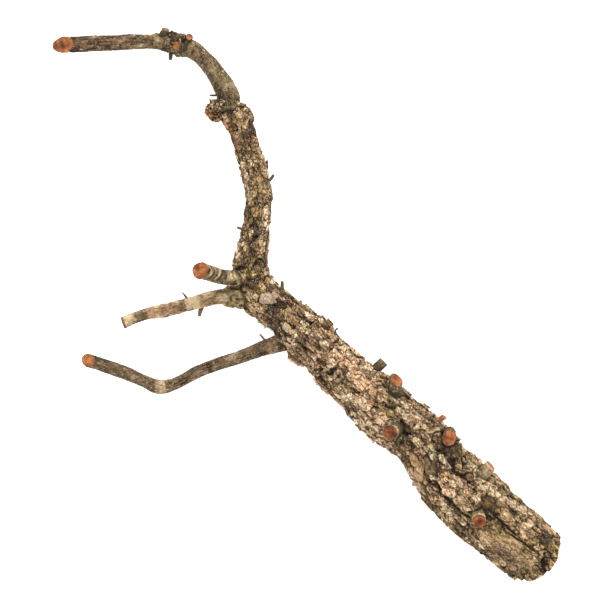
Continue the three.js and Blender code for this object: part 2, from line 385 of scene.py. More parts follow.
def ring_mesh(name, rings, masks, start_rows, end_rows, materials, smooth_shaded=True):
    """A closed mesh from a grid of rings. start_rows and end_rows are how many of the first and
    last rings lie on the ends, which take the second material."""
    rows, columns = rings.shape[:2]
    index = np.arange(rows * columns).reshape(rows, columns)
    right = np.roll(index, -1, axis=1)
    quads = np.stack([index[:-1], right[:-1], right[1:], index[1:]], axis=-1).reshape(-1, 4)
    first, last = rows * columns, rows * columns + 1
    vertices = np.vstack([rings.reshape(-1, 3), rings[0].mean(0), rings[-1].mean(0)])
    start_fan = np.stack([right[0], index[0], np.full(columns, first)], axis=-1)
    end_fan = np.stack([index[-1], right[-1], np.full(columns, last)], axis=-1)
    faces = quads.tolist() + start_fan.tolist() + end_fan.tolist()
    on_end = np.zeros((rows - 1, columns), int)
    on_end[:start_rows] = 1
    if end_rows:
        on_end[-end_rows:] = 1
    ends = [int(start_rows > 0)] * columns + [int(end_rows > 0)] * columns
    flat_masks = {}
    for mask, values in masks.items():
        if mask == "lie":
            ends_lie = values[0].mean(0), values[-1].mean(0)
            flat_masks[mask] = np.vstack([values.reshape(-1, 3), *ends_lie])
            continue
        values = np.broadcast_to(values, (rows, columns))
        flat_masks[mask] = np.concatenate([values.ravel(), [values[0].mean(), values[-1].mean()]])
    steps = np.linalg.norm(np.diff(rings, axis=0), axis=2).mean(axis=1)
    v = 0.005 + 0.99 * np.concatenate([[0], np.cumsum(steps)]) / steps.sum()
    u = np.arange(columns + 1) / columns
    low_u, high_u = np.tile(u[:-1], (rows - 1, 1)), np.tile(u[1:], (rows - 1, 1))
    low_v = np.tile(v[:-1, None], (1, columns))
    high_v = np.tile(v[1:, None], (1, columns))
    quad_uv = np.stack(
        [low_u, low_v, high_u, low_v, high_u, high_v, low_u, high_v], axis=-1
    ).reshape(-1, 2)
    fan = np.stack([u[1:], np.full(columns, v[0]), u[:-1], np.full(columns, v[0])], axis=-1)
    middle = (u[1:] + u[:-1]) / 2
    start_uv = np.column_stack([fan, middle, np.zeros(columns)]).reshape(-1, 2)
    fan = np.stack([u[:-1], np.full(columns, v[-1]), u[1:], np.full(columns, v[-1])], axis=-1)
    end_uv = np.column_stack([fan, middle, np.ones(columns)]).reshape(-1, 2)
    return make_mesh(
        name,
        vertices,
        faces,
        flat_masks,
        materials,
        np.concatenate([on_end.ravel(), ends]),
        np.vstack([quad_uv, start_uv, end_uv]),
        smooth_shaded,
    )


def ring_angles(columns):
    return np.arange(columns) / columns * TURN


def ring_grid(start, stop, rows, columns):
    """Distances along a limb and angles round it, for rows of rings. start and stop may differ by
    angle."""
    angle = ring_angles(columns)
    s = start + (stop - start) * np.linspace(0, 1, rows)[:, None] + 0 * angle
    return s, angle + 0 * s


def inner_rings(ring, shares):
    """Smaller copies of a ring, which close a piece's hidden end."""
    middle = ring.mean(0)
    return np.stack([middle + share * (ring - middle) for share in shares])


def raise_mask(masks, name, value):
    masks[name] = np.maximum(masks[name], value)


def sawn_end(ring, way, rows, seed, relief=0.25):
    """Rings from a rim to its middle, with saw marks, a raised edge of bark and a shallow dish, and
    their masks."""
    middle = ring.mean(0)
    share = np.concatenate([[0.985, 0.96, 0.93, 0.9], np.linspace(0.86, 0.06, rows - 4)])
    rings = middle + share[:, None, None] * (ring - middle)
    across = unit(np.cross(way, UP + 0.01))
    strokes = rings @ (across * 0.9 + np.cross(way, across) * 0.35)
    marks = 0.6 * fbm(np.stack([strokes * 1.1, strokes * 0.06, strokes * 0], axis=-1), seed, 2)
    rough = fbm(rings / 2.2, seed + 5, 3)
    wood = smooth(0.93, 0.86, share)[:, None]
    height = relief * (marks * 0.7 + rough * 0.8) * wood - relief * 1.1 * wood
    rings = rings + height[..., None] * way
    radial = np.linalg.norm(rings - middle, axis=-1)
    wobble = radial * (1 + 0.09 * fbm(rings / 9, seed + 9, 2))
    masks = {
        "rim": np.broadcast_to(share[:, None], radial.shape),
        "grain": wobble,
        "tone": 0.5 + 0.35 * fbm(rings / 6, seed + 2, 3),
        # painted shade in the saw marks' troughs
        "painted_shade": 0.12 * smooth(0.2, -0.9, marks),
    }
    return rings, masks


# ---------------------------------------------------------------- old bark

# How strong each kind of relief is, and how the tone shifts, by distance along the stem:
# distance, plates, chunks, ledges, chips, furrows, tone, warmth
TEXTURE = np.array(
    [
        (0, 0.6, 0.0, 0.75, 0.15, 0.9, -0.07, -0.7),
        (140, 0.6, 0.0, 0.8, 0.15, 0.9, -0.02, -0.6),
        (190, 0.9, 0.1, 1.2, 0.35, 0.4, 0.19, -0.35),
        (280, 1.0, 0.1, 1.1, 0.35, 0.4, 0.13, 0.1),
        (390, 1.05, 0.15, 1.1, 0.4, 0.4, 0.11, 0.3),
        (430, 0.7, 0.5, 1.1, 0.6, 0.2, 0.1, 0.1),
        (505, 0.5, 0.45, 0.8, 0.5, 0.2, 0.01, -0.5),
        (560, 0.55, 0.55, 0.5, 0.25, 0.25, -0.01, -0.3),
        (640, 0.55, 0.55, 0.5, 0.25, 0.25, -0.02, 0.0),
        (730, 0.3, 0.6, 0.4, 0.4, 0.25, -0.07, 0.1),
    ]
)
LOWERED = 0.9  # how far the bark's mean lies under the CAD surface, so that its crests reach it
MEAN_TONE = 0.48


def mark(x, y, half_length, half_width, turn=0, edge=0.28, power=2, **effect):
    """A feature of the stem's upper side: the x and y that it lies over, half its length along the
    stem, half its width and its turn in degrees. edge is how soft its edge is, and a higher power
    squares its corners. It lifts the bark by lift mm, flattens it by calm, adds to tone and warm,
    and raises the other masks that it names."""
    return (x, y, half_length, half_width, turn, edge, power), effect


# Where a mark raises dark, it darkens the bark itself in places, and mostly paints shade: into grooves,
# cracks and hollows, under the big slab's end, and over some raised places beside the stubs.
FEATURES = [
    # butt: a slab along one side of a groove, smoother and darker wood on the other
    mark(-368, -45, 38, 7.5, lift=3.2, calm=0.5, tone=0.12, warm=0.3, edge=0.1, power=3),
    mark(-352, -35, 27, 1.4, 3, lift=-2.4, dark=0.8, calm=0.5, edge=0.2),
    mark(-388, -36, 27, 1.4, -3, lift=-2.6, dark=0.9, calm=0.5, edge=0.2),
    mark(-376, -17, 46, 15, lift=-1.4, calm=0.8, tone=-0.08, warm=0.1),
    mark(-372, -24, 40, 2.0, 4, lift=0.8, tone=0.04),
    mark(-424, -33, 9, 4, 30, lift=-7, calm=0.8, dark=1.0, tone=-0.3, edge=0.15),
    mark(-412, -43, 9, 8, lift=2.4, tone=0.1),
    mark(-396, -66, 22, 7, lift=1.0, tone=-0.06, dark=0.3),
    mark(-406, -58, 12, 8, tone=-0.1, moss=0.3),
    mark(-349, -8, 9, 7, lift=2.2, tone=0.15, warm=0.9),
    mark(-365, -8, 2, 1.2, moss=0.85),
    mark(-410, -51, 3, 2, moss=1.0),
    mark(-423, -38, 4, 2, moss=0.8),
    mark(-431, -17, 3, 4, bare=1.0),
    mark(-400, 9, 26, 6, lift=2.6),
    mark(-424, -64, 12, 10, lift=-2.6),
    mark(-350, 5, 14, 2.5, bare=0.75),
    mark(-387, 5, 12, 2, bare=0.65),
    # the big loose slab, its wound and the hollow under its end, which is painted dark as shade
    mark(-292, -25, 27, 14, -4, lift=4.2, calm=0.25, tone=0.2, warm=1.0, edge=0.06, power=3),
    mark(-280, -8, 14, 1.8, 12, lift=-2.6, dark=1.0, edge=0.3),
    mark(-306, -9, 16, 1.8, -6, lift=-2.6, dark=1.0, edge=0.3),
    mark(-292, -41, 20, 1.4, -4, lift=-1.2, dark=0.5, edge=0.4),
    mark(-297, -29, 2.2, 7, 20, lift=-0.8, bare=1.0, calm=0.8),
    mark(-324, -38, 10, 9, lift=-1.6, calm=0.85, dark=1.0, tone=-0.1, edge=0.12),
    mark(-319, -29, 6, 8, lift=2.5, calm=0.5, dark=0.8),
    mark(-332, -6, 8, 9, lift=-1.5, calm=0.4, dark=0.5),
    mark(-282, -10, 4.5, 3, lift=1.2, tone=-0.1),
    mark(-288, 4, 26, 8, tone=0.34, warm=0.5),
    mark(-282, -10, 2.2, 1.2, lift=-2.5, dark=0.9),
    # pale torn ridge beyond the slab
    mark(-290, -55, 22, 7.5, 10, lift=1.8, pale=1.0, tone=0.36, warm=0.5),
    mark(-314, -53, 20, 7, -8, lift=1.8, pale=1.0, tone=0.36, warm=0.5),
    mark(-345, -59, 32, 5, -2, lift=1.2, pale=0.7, tone=0.3, warm=0.5),
    mark(-382, -67, 20, 3, pale=0.5, tone=0.15),
    mark(-285, -45, 7, 6.5, lift=3.4, dark=1.0),
    mark(-227, -57, 7, 7, lift=4.2, dark=0.4),
    # smooth dark hollows by the pruned stubs, their darkness partly painted shade, and raised places
    # beside the stubs painted dark as shade
    mark(-249, -21, 15, 9, 25, lift=-4.8, calm=0.9, dark=0.75, tone=-0.1, edge=0.06),
    mark(-253, -53, 18, 8, -12, lift=2.4, calm=0.5, dark=0.9, edge=0.2),
    mark(-193, -40, 8, 10, lift=4.5, calm=0.3),
    mark(-233, -20, 14, 7, lift=2.2, calm=0.4),
    # plates and lichen between the hollows
    mark(-236, -36, 13, 6, 15, lift=1.8, pale=0.7),
    mark(-256, -38, 12, 4, lift=1.4, pale=0.75),
    mark(-209, -31, 5, 3.4, 35, lift=2.4, calm=0.7, pale=0.85),
    mark(-195, -57, 8, 4, pale=0.9),
    mark(-207, -7, 11, 4.5, 20, moss=0.95),
    mark(-193, -38, 5, 10, lift=-1.8, dark=0.7),
    mark(-160, -42, 9, 4, 20, moss=0.75, pale=0.4),
    mark(-168, -31, 14, 4, 10, moss=0.7, pale=0.3),
    mark(-176, -52, 14, 9, tone=-0.12),
    # broad pinkish plates of the middle
    mark(-106, -33, 24, 12, lift=0.8, calm=0.45, tone=0.06, warm=0.4, edge=0.1, power=3),
    mark(-134, -33, 22, 10, lift=1.4, calm=0.4, tone=0.13, warm=0.4, edge=0.08, power=3),
    mark(-142, -15, 24, 9, lift=0.4, calm=0.4, tone=0.08, warm=0.4, power=3),
    mark(-112, -8, 24, 9, calm=0.5, tone=0.1, warm=-0.2, power=3),
    mark(-160, -5, 22, 6, calm=0.5, tone=0.08, warm=-0.6),
    mark(-90, -41, 14, 7, calm=0.3, tone=0.08, warm=0.4),
    mark(-172, -20, 16, 8, calm=0.3, tone=0.1),
    # the rough band before the fork
    mark(-86, -16, 4.5, 11, 14, lift=-3.4, dark=0.9, edge=0.3),
    mark(-74, -9, 3, 8, 30, lift=-3, dark=1.0, edge=0.2),
    mark(-78, -22, 9, 10, lift=3.4, tone=0.04),
    mark(-99, -30, 2, 8, -15, lift=-2.2, dark=0.8),
    mark(-81, -30, 7, 7, lift=2.2, tone=0.05),
    mark(-79, -31, 2.5, 2, bare=0.9),
    mark(-46, -35, 7, 5, lift=1.2, pale=0.85, tone=0.15, warm=-0.4),
    mark(-70, -49, 5, 4, pale=0.9),
    mark(-31, -41, 3, 8, -12, lift=-2.6, dark=0.7, edge=0.4),
    mark(-39, -34, 4, 9, -12, lift=2.6, warm=0.2),
    mark(-24, -47, 4, 7, 20, lift=2.2),
    mark(-47, -41, 2, 8, 15, lift=-2.4, dark=0.8, edge=0.4),
    mark(-60, -35, 2, 9, -8, lift=-2.2, dark=0.9, edge=0.2),
    mark(-37, -54, 9, 7, lift=2.6, tone=0.05),
    mark(-16, -46, 8, 8, lift=1.6),
    mark(-13, -17, 6, 5, -20, lift=1.6, calm=0.7, pale=0.75, warm=-0.7, tone=0.06, edge=0.1, power=4),
    mark(-13, 3, 9, 4, bare=0.45),
    # the fork: grey-white plates among moss
    mark(34, -25, 10.5, 6, -32, lift=1.8, calm=0.7, pale=0.85, warm=-0.8, tone=0.04, edge=0.06, power=6),
    mark(49, -15, 6, 5.5, lift=1.2, calm=0.6, pale=0.55, warm=-0.5, tone=0.02, edge=0.1, power=3),
    mark(34, -9, 8, 3.5, 20, lift=1.0, calm=0.6, pale=0.45, tone=0.1, warm=0.5),
    mark(14, -34, 5, 7, lift=-1.4, dark=0.55),
    mark(56, -1, 19, 6, moss=1.0, tone=0.1),
    mark(36, 4, 14, 6, moss=0.9, tone=0.1),
    mark(66, -8, 10, 7, moss=0.5),
    mark(68, -31, 15, 15, moss=0.3, tone=-0.22, warm=-0.7, dark=0.4),
    mark(48, -37, 14, 8, moss=0.3, tone=-0.14, warm=-0.7),
    mark(5, -26, 12, 14, tone=-0.12, warm=-0.5, dark=0.25),
    mark(14, -8, 12, 8, tone=-0.08, warm=-0.4),
    mark(22, -38, 9, 6, tone=-0.1),
    mark(82, -24, 9, 9, moss=0.3, dark=0.8, lift=-1.5),
    mark(55, -22, 12, 7, moss=0.35, dark=0.4, warm=-0.7),
    # the upper limb
    mark(81, -58, 4, 3, moss=0.9),
    mark(112, -75, 4, 3, moss=0.9),
    mark(100, -88, 14, 6, tone=0.1),
    mark(137, -98, 12, 6, tone=0.15, pale=0.3),
    mark(165, -117, 6, 5, pale=0.8),
    mark(161, -131, 9, 6, calm=0.3, pale=0.45, tone=0.1),
    mark(121, -103, 9, 8, tone=-0.2, dark=0.35, moss=0.25, warm=-0.6),
    mark(184, -128, 14, 10, tone=-0.12, warm=-0.6, dark=0.3),
    mark(131, -112, 13, 10, calm=0.6, tone=-0.04, warm=-1.0),
    mark(134, -116, 10, 6, 40, pale=0.42, calm=0.5, warm=-0.6),
    mark(151, -119, 7, 8, dark=0.5, moss=0.25, tone=-0.1),
    mark(206, -136, 16, 5, bare=0.95),
    mark(190, -131, 14, 3, bare=0.7),
]


def bark_places(limb, s, angle):
    """Coordinates for bark patterns that close round the limb, in mm."""
    girth = limb.read("radius", s)
    return np.stack([girth * np.cos(angle), girth * np.sin(angle), s], axis=-1)


def half_turn(angle):
    """The same angle, between half a turn back and half a turn on."""
    return np.mod(angle + math.pi, TURN) - math.pi


def feature_share(s, angle, wobble, x, y, half_length, half_width, turn, edge, power):
    """How far each point lies in a feature, from 0 to 1."""
    s0, a0 = stem.find_top(x, y)
    forward = s - s0
    across = half_turn(angle - a0) * stem.read("radius", s)
    c, d = math.cos(math.radians(turn)), math.sin(math.radians(turn))
    u = (c * forward + d * across) / half_length
    v = (c * across - d * forward) / half_width
    away = (np.abs(u) ** power + np.abs(v) ** power) ** (1 / power)
    return smooth(1 + edge, 1 - edge, away + wobble)


def old_bark(s, angle):
    """Height of the stem's bark over its nominal radius in mm, and the bark's masks: plates split
    into chunks and chips, ledges and furrows, and then the features."""
    q = bark_places(stem, s, angle)
    warp = np.stack([noise(q / 13, seed) for seed in (11, 12, 13)], axis=-1)
    fine_warp = np.stack([noise(q / 4.2, seed) for seed in (14, 15, 16)], axis=-1)
    tiny_warp = np.stack([noise(q / 1.9, seed) for seed in (17, 18, 19)], axis=-1)
    w = q + 4.5 * warp + 2.0 * fine_warp + 0.6 * tiny_warp
    plates, chunks, ledges, chips, furrows, shift, warmth = (
        np.interp(s, TEXTURE[:, 0], TEXTURE[:, k]) for k in range(1, 8)
    )
    patchy = smooth(-0.5, 0.6, noise(q / 24, 21))

    edge, plate_id, off = cells(w / (12.5, 12.5, 21), 31)
    slope = np.cos(plate_id * 40) * off[..., 0] + np.sin(plate_id * 40) * off[..., 1]
    slope = slope + 1.2 * np.cos(plate_id * 91) * off[..., 2]
    crack = smooth(0.11, 0.0, edge)
    height = plates * (2.8 * (plate_id - 0.5) + 3.2 * slope - 1.8 * crack) - LOWERED

    edge2, chunk_id, off2 = cells((w + 1.2 * fine_warp) / (6.6, 6.6, 9.5) + 7, 41)
    slope2 = np.cos(chunk_id * 53) * off2[..., 0] + np.sin(chunk_id * 53) * off2[..., 2]
    crack2 = smooth(0.17, 0.0, edge2)
    height = height + chunks * (2.0 * (chunk_id - 0.5) + 1.4 * slope2 - 2.3 * crack2)

    stairs = 3.6 * fbm((q + 5 * warp) / (15, 15, 26), 51, 5, 0.6)
    stairs = np.floor(stairs) + smooth(0.75, 1.0, stairs - np.floor(stairs))
    height = height + ledges * 0.95 * (stairs + 0.5)

    edge3, chip_id, off3 = cells((q + 1.6 * fine_warp + 0.9 * tiny_warp) / (2.9, 2.9, 4.3) + 3, 61)
    crack3 = smooth(0.16, 0.0, edge3)
    slope3 = np.cos(chip_id * 71) * off3[..., 0] + np.sin(chip_id * 71) * off3[..., 2]
    height = height + chips * (0.5 + patchy) * (
        1.3 * (chip_id - 0.5) + 1.5 * slope3 - 0.6 * crack3
    )

    ridge = 1 - np.abs(noise((q + 6 * warp) / (8, 8, 60), 71))
    height = height - furrows * 2.6 * smooth(0.84, 1.0, ridge)
    height = height + 1.9 * fbm(q / (34, 34, 48), 81, 2) + 0.5 * fbm(q / 2.0, 91, 3)

    # The tone also rises with the bark's height: painted shade in its low places and painted light on
    # its crests.
    tone = MEAN_TONE + shift + 0.34 * (plate_id - 0.5) + 0.2 * (chunk_id - 0.5)
    tone = tone + 0.16 * (chip_id - 0.5) + 0.36 * fbm(q / 19, 95, 3) + 0.05 * height
    masks = {
        "lie": q,
        "tone": tone,
        # painted shade in the cracks between plates, chunks and chips
        "painted_shade": 0.85 * np.maximum.reduce([crack * plates, crack2 * chunks, crack3 * chips * 0.7]),
        "moss": 0.4 * smooth(0.25, 0.9, fbm(q / 17, 96, 3)),
        "pale": 0.45 * smooth(0.3, 0.8, fbm(q / 12, 97, 3)),
        "bare": 0.62 * smooth(0.45, 0.85, fbm(q / 6.5, 98, 3)),
        "dark": 0.45 * smooth(0.35, 0.8, fbm(q / 15, 99, 3)),
        "warm": warmth + 0.7 * fbm(q / 16, 105, 3) + 0.5 * (plate_id - 0.5),
        "calm": np.zeros_like(s),
    }
    wobble = 0.26 * noise(q / 5, 101) + 0.16 * noise(q / 2, 102)
    lift = np.zeros_like(s)
    for form, effect in FEATURES:
        squared = form[-1] > 2
        share = feature_share(s, angle, wobble * (0.7 if squared else 1), *form)
        calm = effect.get("calm", 0) * share
        masks["tone"] += 0.6 * calm * (MEAN_TONE + shift - masks["tone"])
        height = height * (1 - calm)
        masks["painted_shade"] *= 1 - calm
        lift = lift + effect.get("lift", 0) * share
        for mask in ("tone", "warm"):
            masks[mask] += effect.get(mask, 0) * share
        for mask in ("calm", "moss", "pale", "bare", "dark"):
            raise_mask(masks, mask, effect.get(mask, 0) * share)
    return height + lift, masks


def round_stubs(places, height, masks, stubs, collar):
    """The bark's height, swollen by about collar mm round each stub's root, with a crevice where the two
    meet, which the masks paint dark as shade."""
    for root, way, radius in stubs:
        off = places - root
        forward = off @ way
        distance = np.linalg.norm(off - forward[..., None] * way, axis=-1) / radius
        near = smooth(3.5 * radius, 1.5 * radius, forward)
        near = near * smooth(-1.3 * radius, -0.7 * radius, forward)
        uneven = np.maximum(0.1, 0.45 + 1.3 * noise(places / 5, 108))
        height = height + near * collar * uneven * np.exp(-(((distance - 1.7) / 0.5) ** 2))
        # painted shade in the crevice round each stub's root
        ditch = near * (0.6 + 0.5 * uneven) * np.exp(-(((distance - 1.15) / 0.2) ** 2))
        height = height - 0.9 * collar * ditch
        raise_mask(masks, "painted_shade", 0.8 * ditch)
        raise_mask(masks, "dark", 0.5 * ditch)
    return height


def stub_shape(node, parent):
    """Root, way, radius and sawn face of a pruned stub's CAD node."""
    places = corners(node)
    s, angle = (np.array([value]) for value in parent.find(places.mean(0)))
    out = parent.put(s, angle, np.ones(1)) - parent.read("centre", s)
    face, facing = sawn_face(node, out[0])
    behind = (face - places) @ facing
    root = places[behind > 0.75 * behind.max()].mean(0)
    way = unit(face - root)
    off = places - root
    off = off - np.outer(off @ way, way)
    return root, way, float(np.percentile(np.linalg.norm(off, axis=1), 55)), face, facing


stub_shapes = {node: stub_shape(node, stem) for node in TRUNK_STUBS}
stub_shapes.update({node: stub_shape(node, crook) for node in CROOK_STUBS})
trunk_roots = [stub_shapes[node][:3] for node in TRUNK_STUBS]
crook_roots = [stub_shapes[node][:3] for node in CROOK_STUBS]
TWIG_ROOT = 12.0  # how far along its route a twig leaves the stem's bark, in mm
for twig in (short_twig, middle_twig, lower_twig):
    root_way = twig.read("centre", TWIG_ROOT), twig.read("along", TWIG_ROOT)
    trunk_roots.append((*root_way, twig.radius[0] * 1.05))


def cavity(height):
    """How deep each point lies below its surroundings, from 0 to 1."""
    near = smooth(0.15, 1.3, blurred(height, 3) - height)
    wide = smooth(0.6, 3.4, blurred(height, 9) - height)
    return np.maximum(near, wide * 0.9)


def stem_rings(low, high, rows, columns):
    """Rings of the stem's bark between two distances, of which low may differ by angle."""
    s, angle = ring_grid(low, high, rows, columns)
    height, masks = old_bark(s, angle)
    places = stem.put(s, angle, stem.read("radius", s) + height)
    height = round_stubs(places, height, masks, trunk_roots, 2.0)
    for centre, size in KNOB:
        off = (places - centre) / size
        height = height + 3.5 * np.exp(-((np.linalg.norm(off, axis=-1) / 0.9) ** 4))
    places = stem.put(s, angle, stem.read("radius", s) + height)
    # painted shade in the bark's hollows, darker the deeper a point lies below its surroundings
    raise_mask(masks, "painted_shade", cavity(height))
    places[..., 2] = np.maximum(places[..., 2], 0)
    return places, masks


# ---------------------------------------------------------------- materials


SPECULAR = 0.25


class Nodes:
    """Short ways to add and link shader nodes."""

    def __init__(self, material, by_limb=True):
        material.use_nodes = True
        self.tree = material.node_tree
        self.tree.nodes.clear()
        if by_limb:
            self.place = self.add("ShaderNodeAttribute", attribute_name="lie").outputs["Vector"]
        else:
            self.place = self.add("ShaderNodeTexCoord").outputs["Object"]

    def add(self, kind, **settings):
        node = self.tree.nodes.new(kind)
        for name, value in settings.items():
            setattr(node, name, value)
        return node

    def feed(self, node, **inputs):
        """Links or sets a node's inputs, by name, or by number as i0, i1 and so on."""
        for name, value in inputs.items():
            numbered = name[0] == "i" and name[1:].isdigit()
            socket = node.inputs[int(name[1:]) if numbered else name]
            if isinstance(value, bpy.types.NodeSocket):
                self.tree.links.new(value, socket)
            else:
                socket.default_value = value
        return node

    def mask(self, name):
        return self.add("ShaderNodeAttribute", attribute_name=name).outputs["Fac"]

    def math(self, operation, *values, clamp=False):
        node = self.add("ShaderNodeMath", operation=operation, use_clamp=clamp)
        self.feed(node, **{f"i{k}": value for k, value in enumerate(values)})
        return node.outputs[0]

    def noise(self, size, detail=3.0, rough=0.55, place=None):
        """Noise of features about size mm across, from 0 to 1."""
        node = self.add("ShaderNodeTexNoise")
        self.feed(node, Vector=place or self.place, Scale=1 / (size * MM))
        self.feed(node, Detail=detail, Roughness=rough)
        return node.outputs["Fac"]

    def stretched(self, share):
        """Coordinates whose patterns are drawn out along the limb."""
        node = self.add("ShaderNodeMapping")
        self.feed(node, Vector=self.place, Scale=(1, 1, share))
        return node.outputs[0]

    def warped(self, place, size, reach):
        """Coordinates pushed about by noise of features about size mm across, by about reach mm."""
        push = self.add("ShaderNodeTexNoise")
        self.feed(push, Vector=place, Scale=1 / (size * MM), Detail=2.0, Roughness=0.5)
        centred = self.add("ShaderNodeVectorMath", operation="SUBTRACT")
        self.feed(centred, i0=push.outputs["Color"], i1=(0.5, 0.5, 0.5))
        scaled = self.add("ShaderNodeVectorMath", operation="SCALE")
        self.feed(scaled, i0=centred.outputs[0], Scale=reach * MM)
        moved = self.add("ShaderNodeVectorMath", operation="ADD")
        self.feed(moved, i0=place, i1=scaled.outputs[0])
        return moved.outputs[0]

    def flakes(self, size, place):
        """Angular flakes about size mm across: how far each point is from a flake's edge, and a
        random number for each flake."""
        edge = self.add("ShaderNodeTexVoronoi", feature="DISTANCE_TO_EDGE")
        self.feed(edge, Vector=place, Scale=1 / (size * MM))
        whole = self.add("ShaderNodeTexVoronoi")
        self.feed(whole, Vector=place, Scale=1 / (size * MM))
        number = self.add("ShaderNodeSeparateColor")
        self.feed(number, Color=whole.outputs["Color"])
        return edge.outputs["Distance"], number.outputs[0]

    def dots(self, size):
        """How far each point is from the nearest of points scattered about size mm apart."""
        node = self.add("ShaderNodeTexVoronoi")
        self.feed(node, Vector=self.place, Scale=1 / (size * MM))
        return node.outputs["Distance"]

    def around(self, value, pattern, strength):
        """A mask pushed up and down by a pattern that runs from 0 to 1."""
        push = self.math("MULTIPLY", self.math("SUBTRACT", pattern, 0.5), strength)
        return self.math("ADD", value, push)

    def step(self, value, low, high):
        """0 at low, 1 at high and a smooth step between."""
        node = self.add("ShaderNodeMapRange", interpolation_type="SMOOTHSTEP")
        self.feed(node, i0=value, i1=low, i2=high, i3=0.0, i4=1.0)
        return node.outputs[0]

    def ramp(self, value, stops):
        node = self.add("ShaderNodeValToRGB")
        elements = node.color_ramp.elements
        elements[0].position, elements[0].color = stops[0][0], linear(stops[0][1])
        elements[1].position, elements[1].color = stops[-1][0], linear(stops[-1][1])
        for position, colour in stops[1:-1]:
            elements.new(position).color = linear(colour)
        self.feed(node, Fac=value)
        return node.outputs["Color"]

    def mix(self, share, a, b, blend="MIX"):
        node = self.add("ShaderNodeMix", data_type="RGBA", blend_type=blend)
        values = [v if isinstance(v, bpy.types.NodeSocket) else linear(v) for v in (a, b)]
        self.feed(node, i0=share, i6=values[0], i7=values[1])
        return node.outputs[2]

    def tint(self, colour, share, strength, toward, blend="MIX"):
        """A colour mixed toward another by a share times a strength."""
        return self.mix(self.math("MULTIPLY", share, strength), colour, toward, blend)

    def finish(self, colour, roughness, bump, strength, distance):
        """The shader, with bump of up to distance mm."""
        bump_node = self.add("ShaderNodeBump")
        self.feed(bump_node, Height=bump, Strength=strength, Distance=distance * MM)
        shader = self.add("ShaderNodeBsdfPrincipled")
        self.feed(shader, Roughness=roughness, Normal=bump_node.outputs[0])
        self.feed(shader, **{"Base Color": colour, "Specular IOR Level": SPECULAR})
        output = self.add("ShaderNodeOutputMaterial")
        self.tree.links.new(shader.outputs[0], output.inputs[0])
        return shader


def linear(colour):
    """An sRGB colour, each part from 0 to 255, as the renderer's linear one."""
    parts = [c / 255 for c in colour[:3]]
    return (*(p / 12.92 if p <= 0.04045 else ((p + 0.055) / 1.055) ** 2.4 for p in parts), 1)


# The colour of painted shade in fine gaps between flakes and in pits and cracks.
SHADE_BROWN = (46, 32, 18)


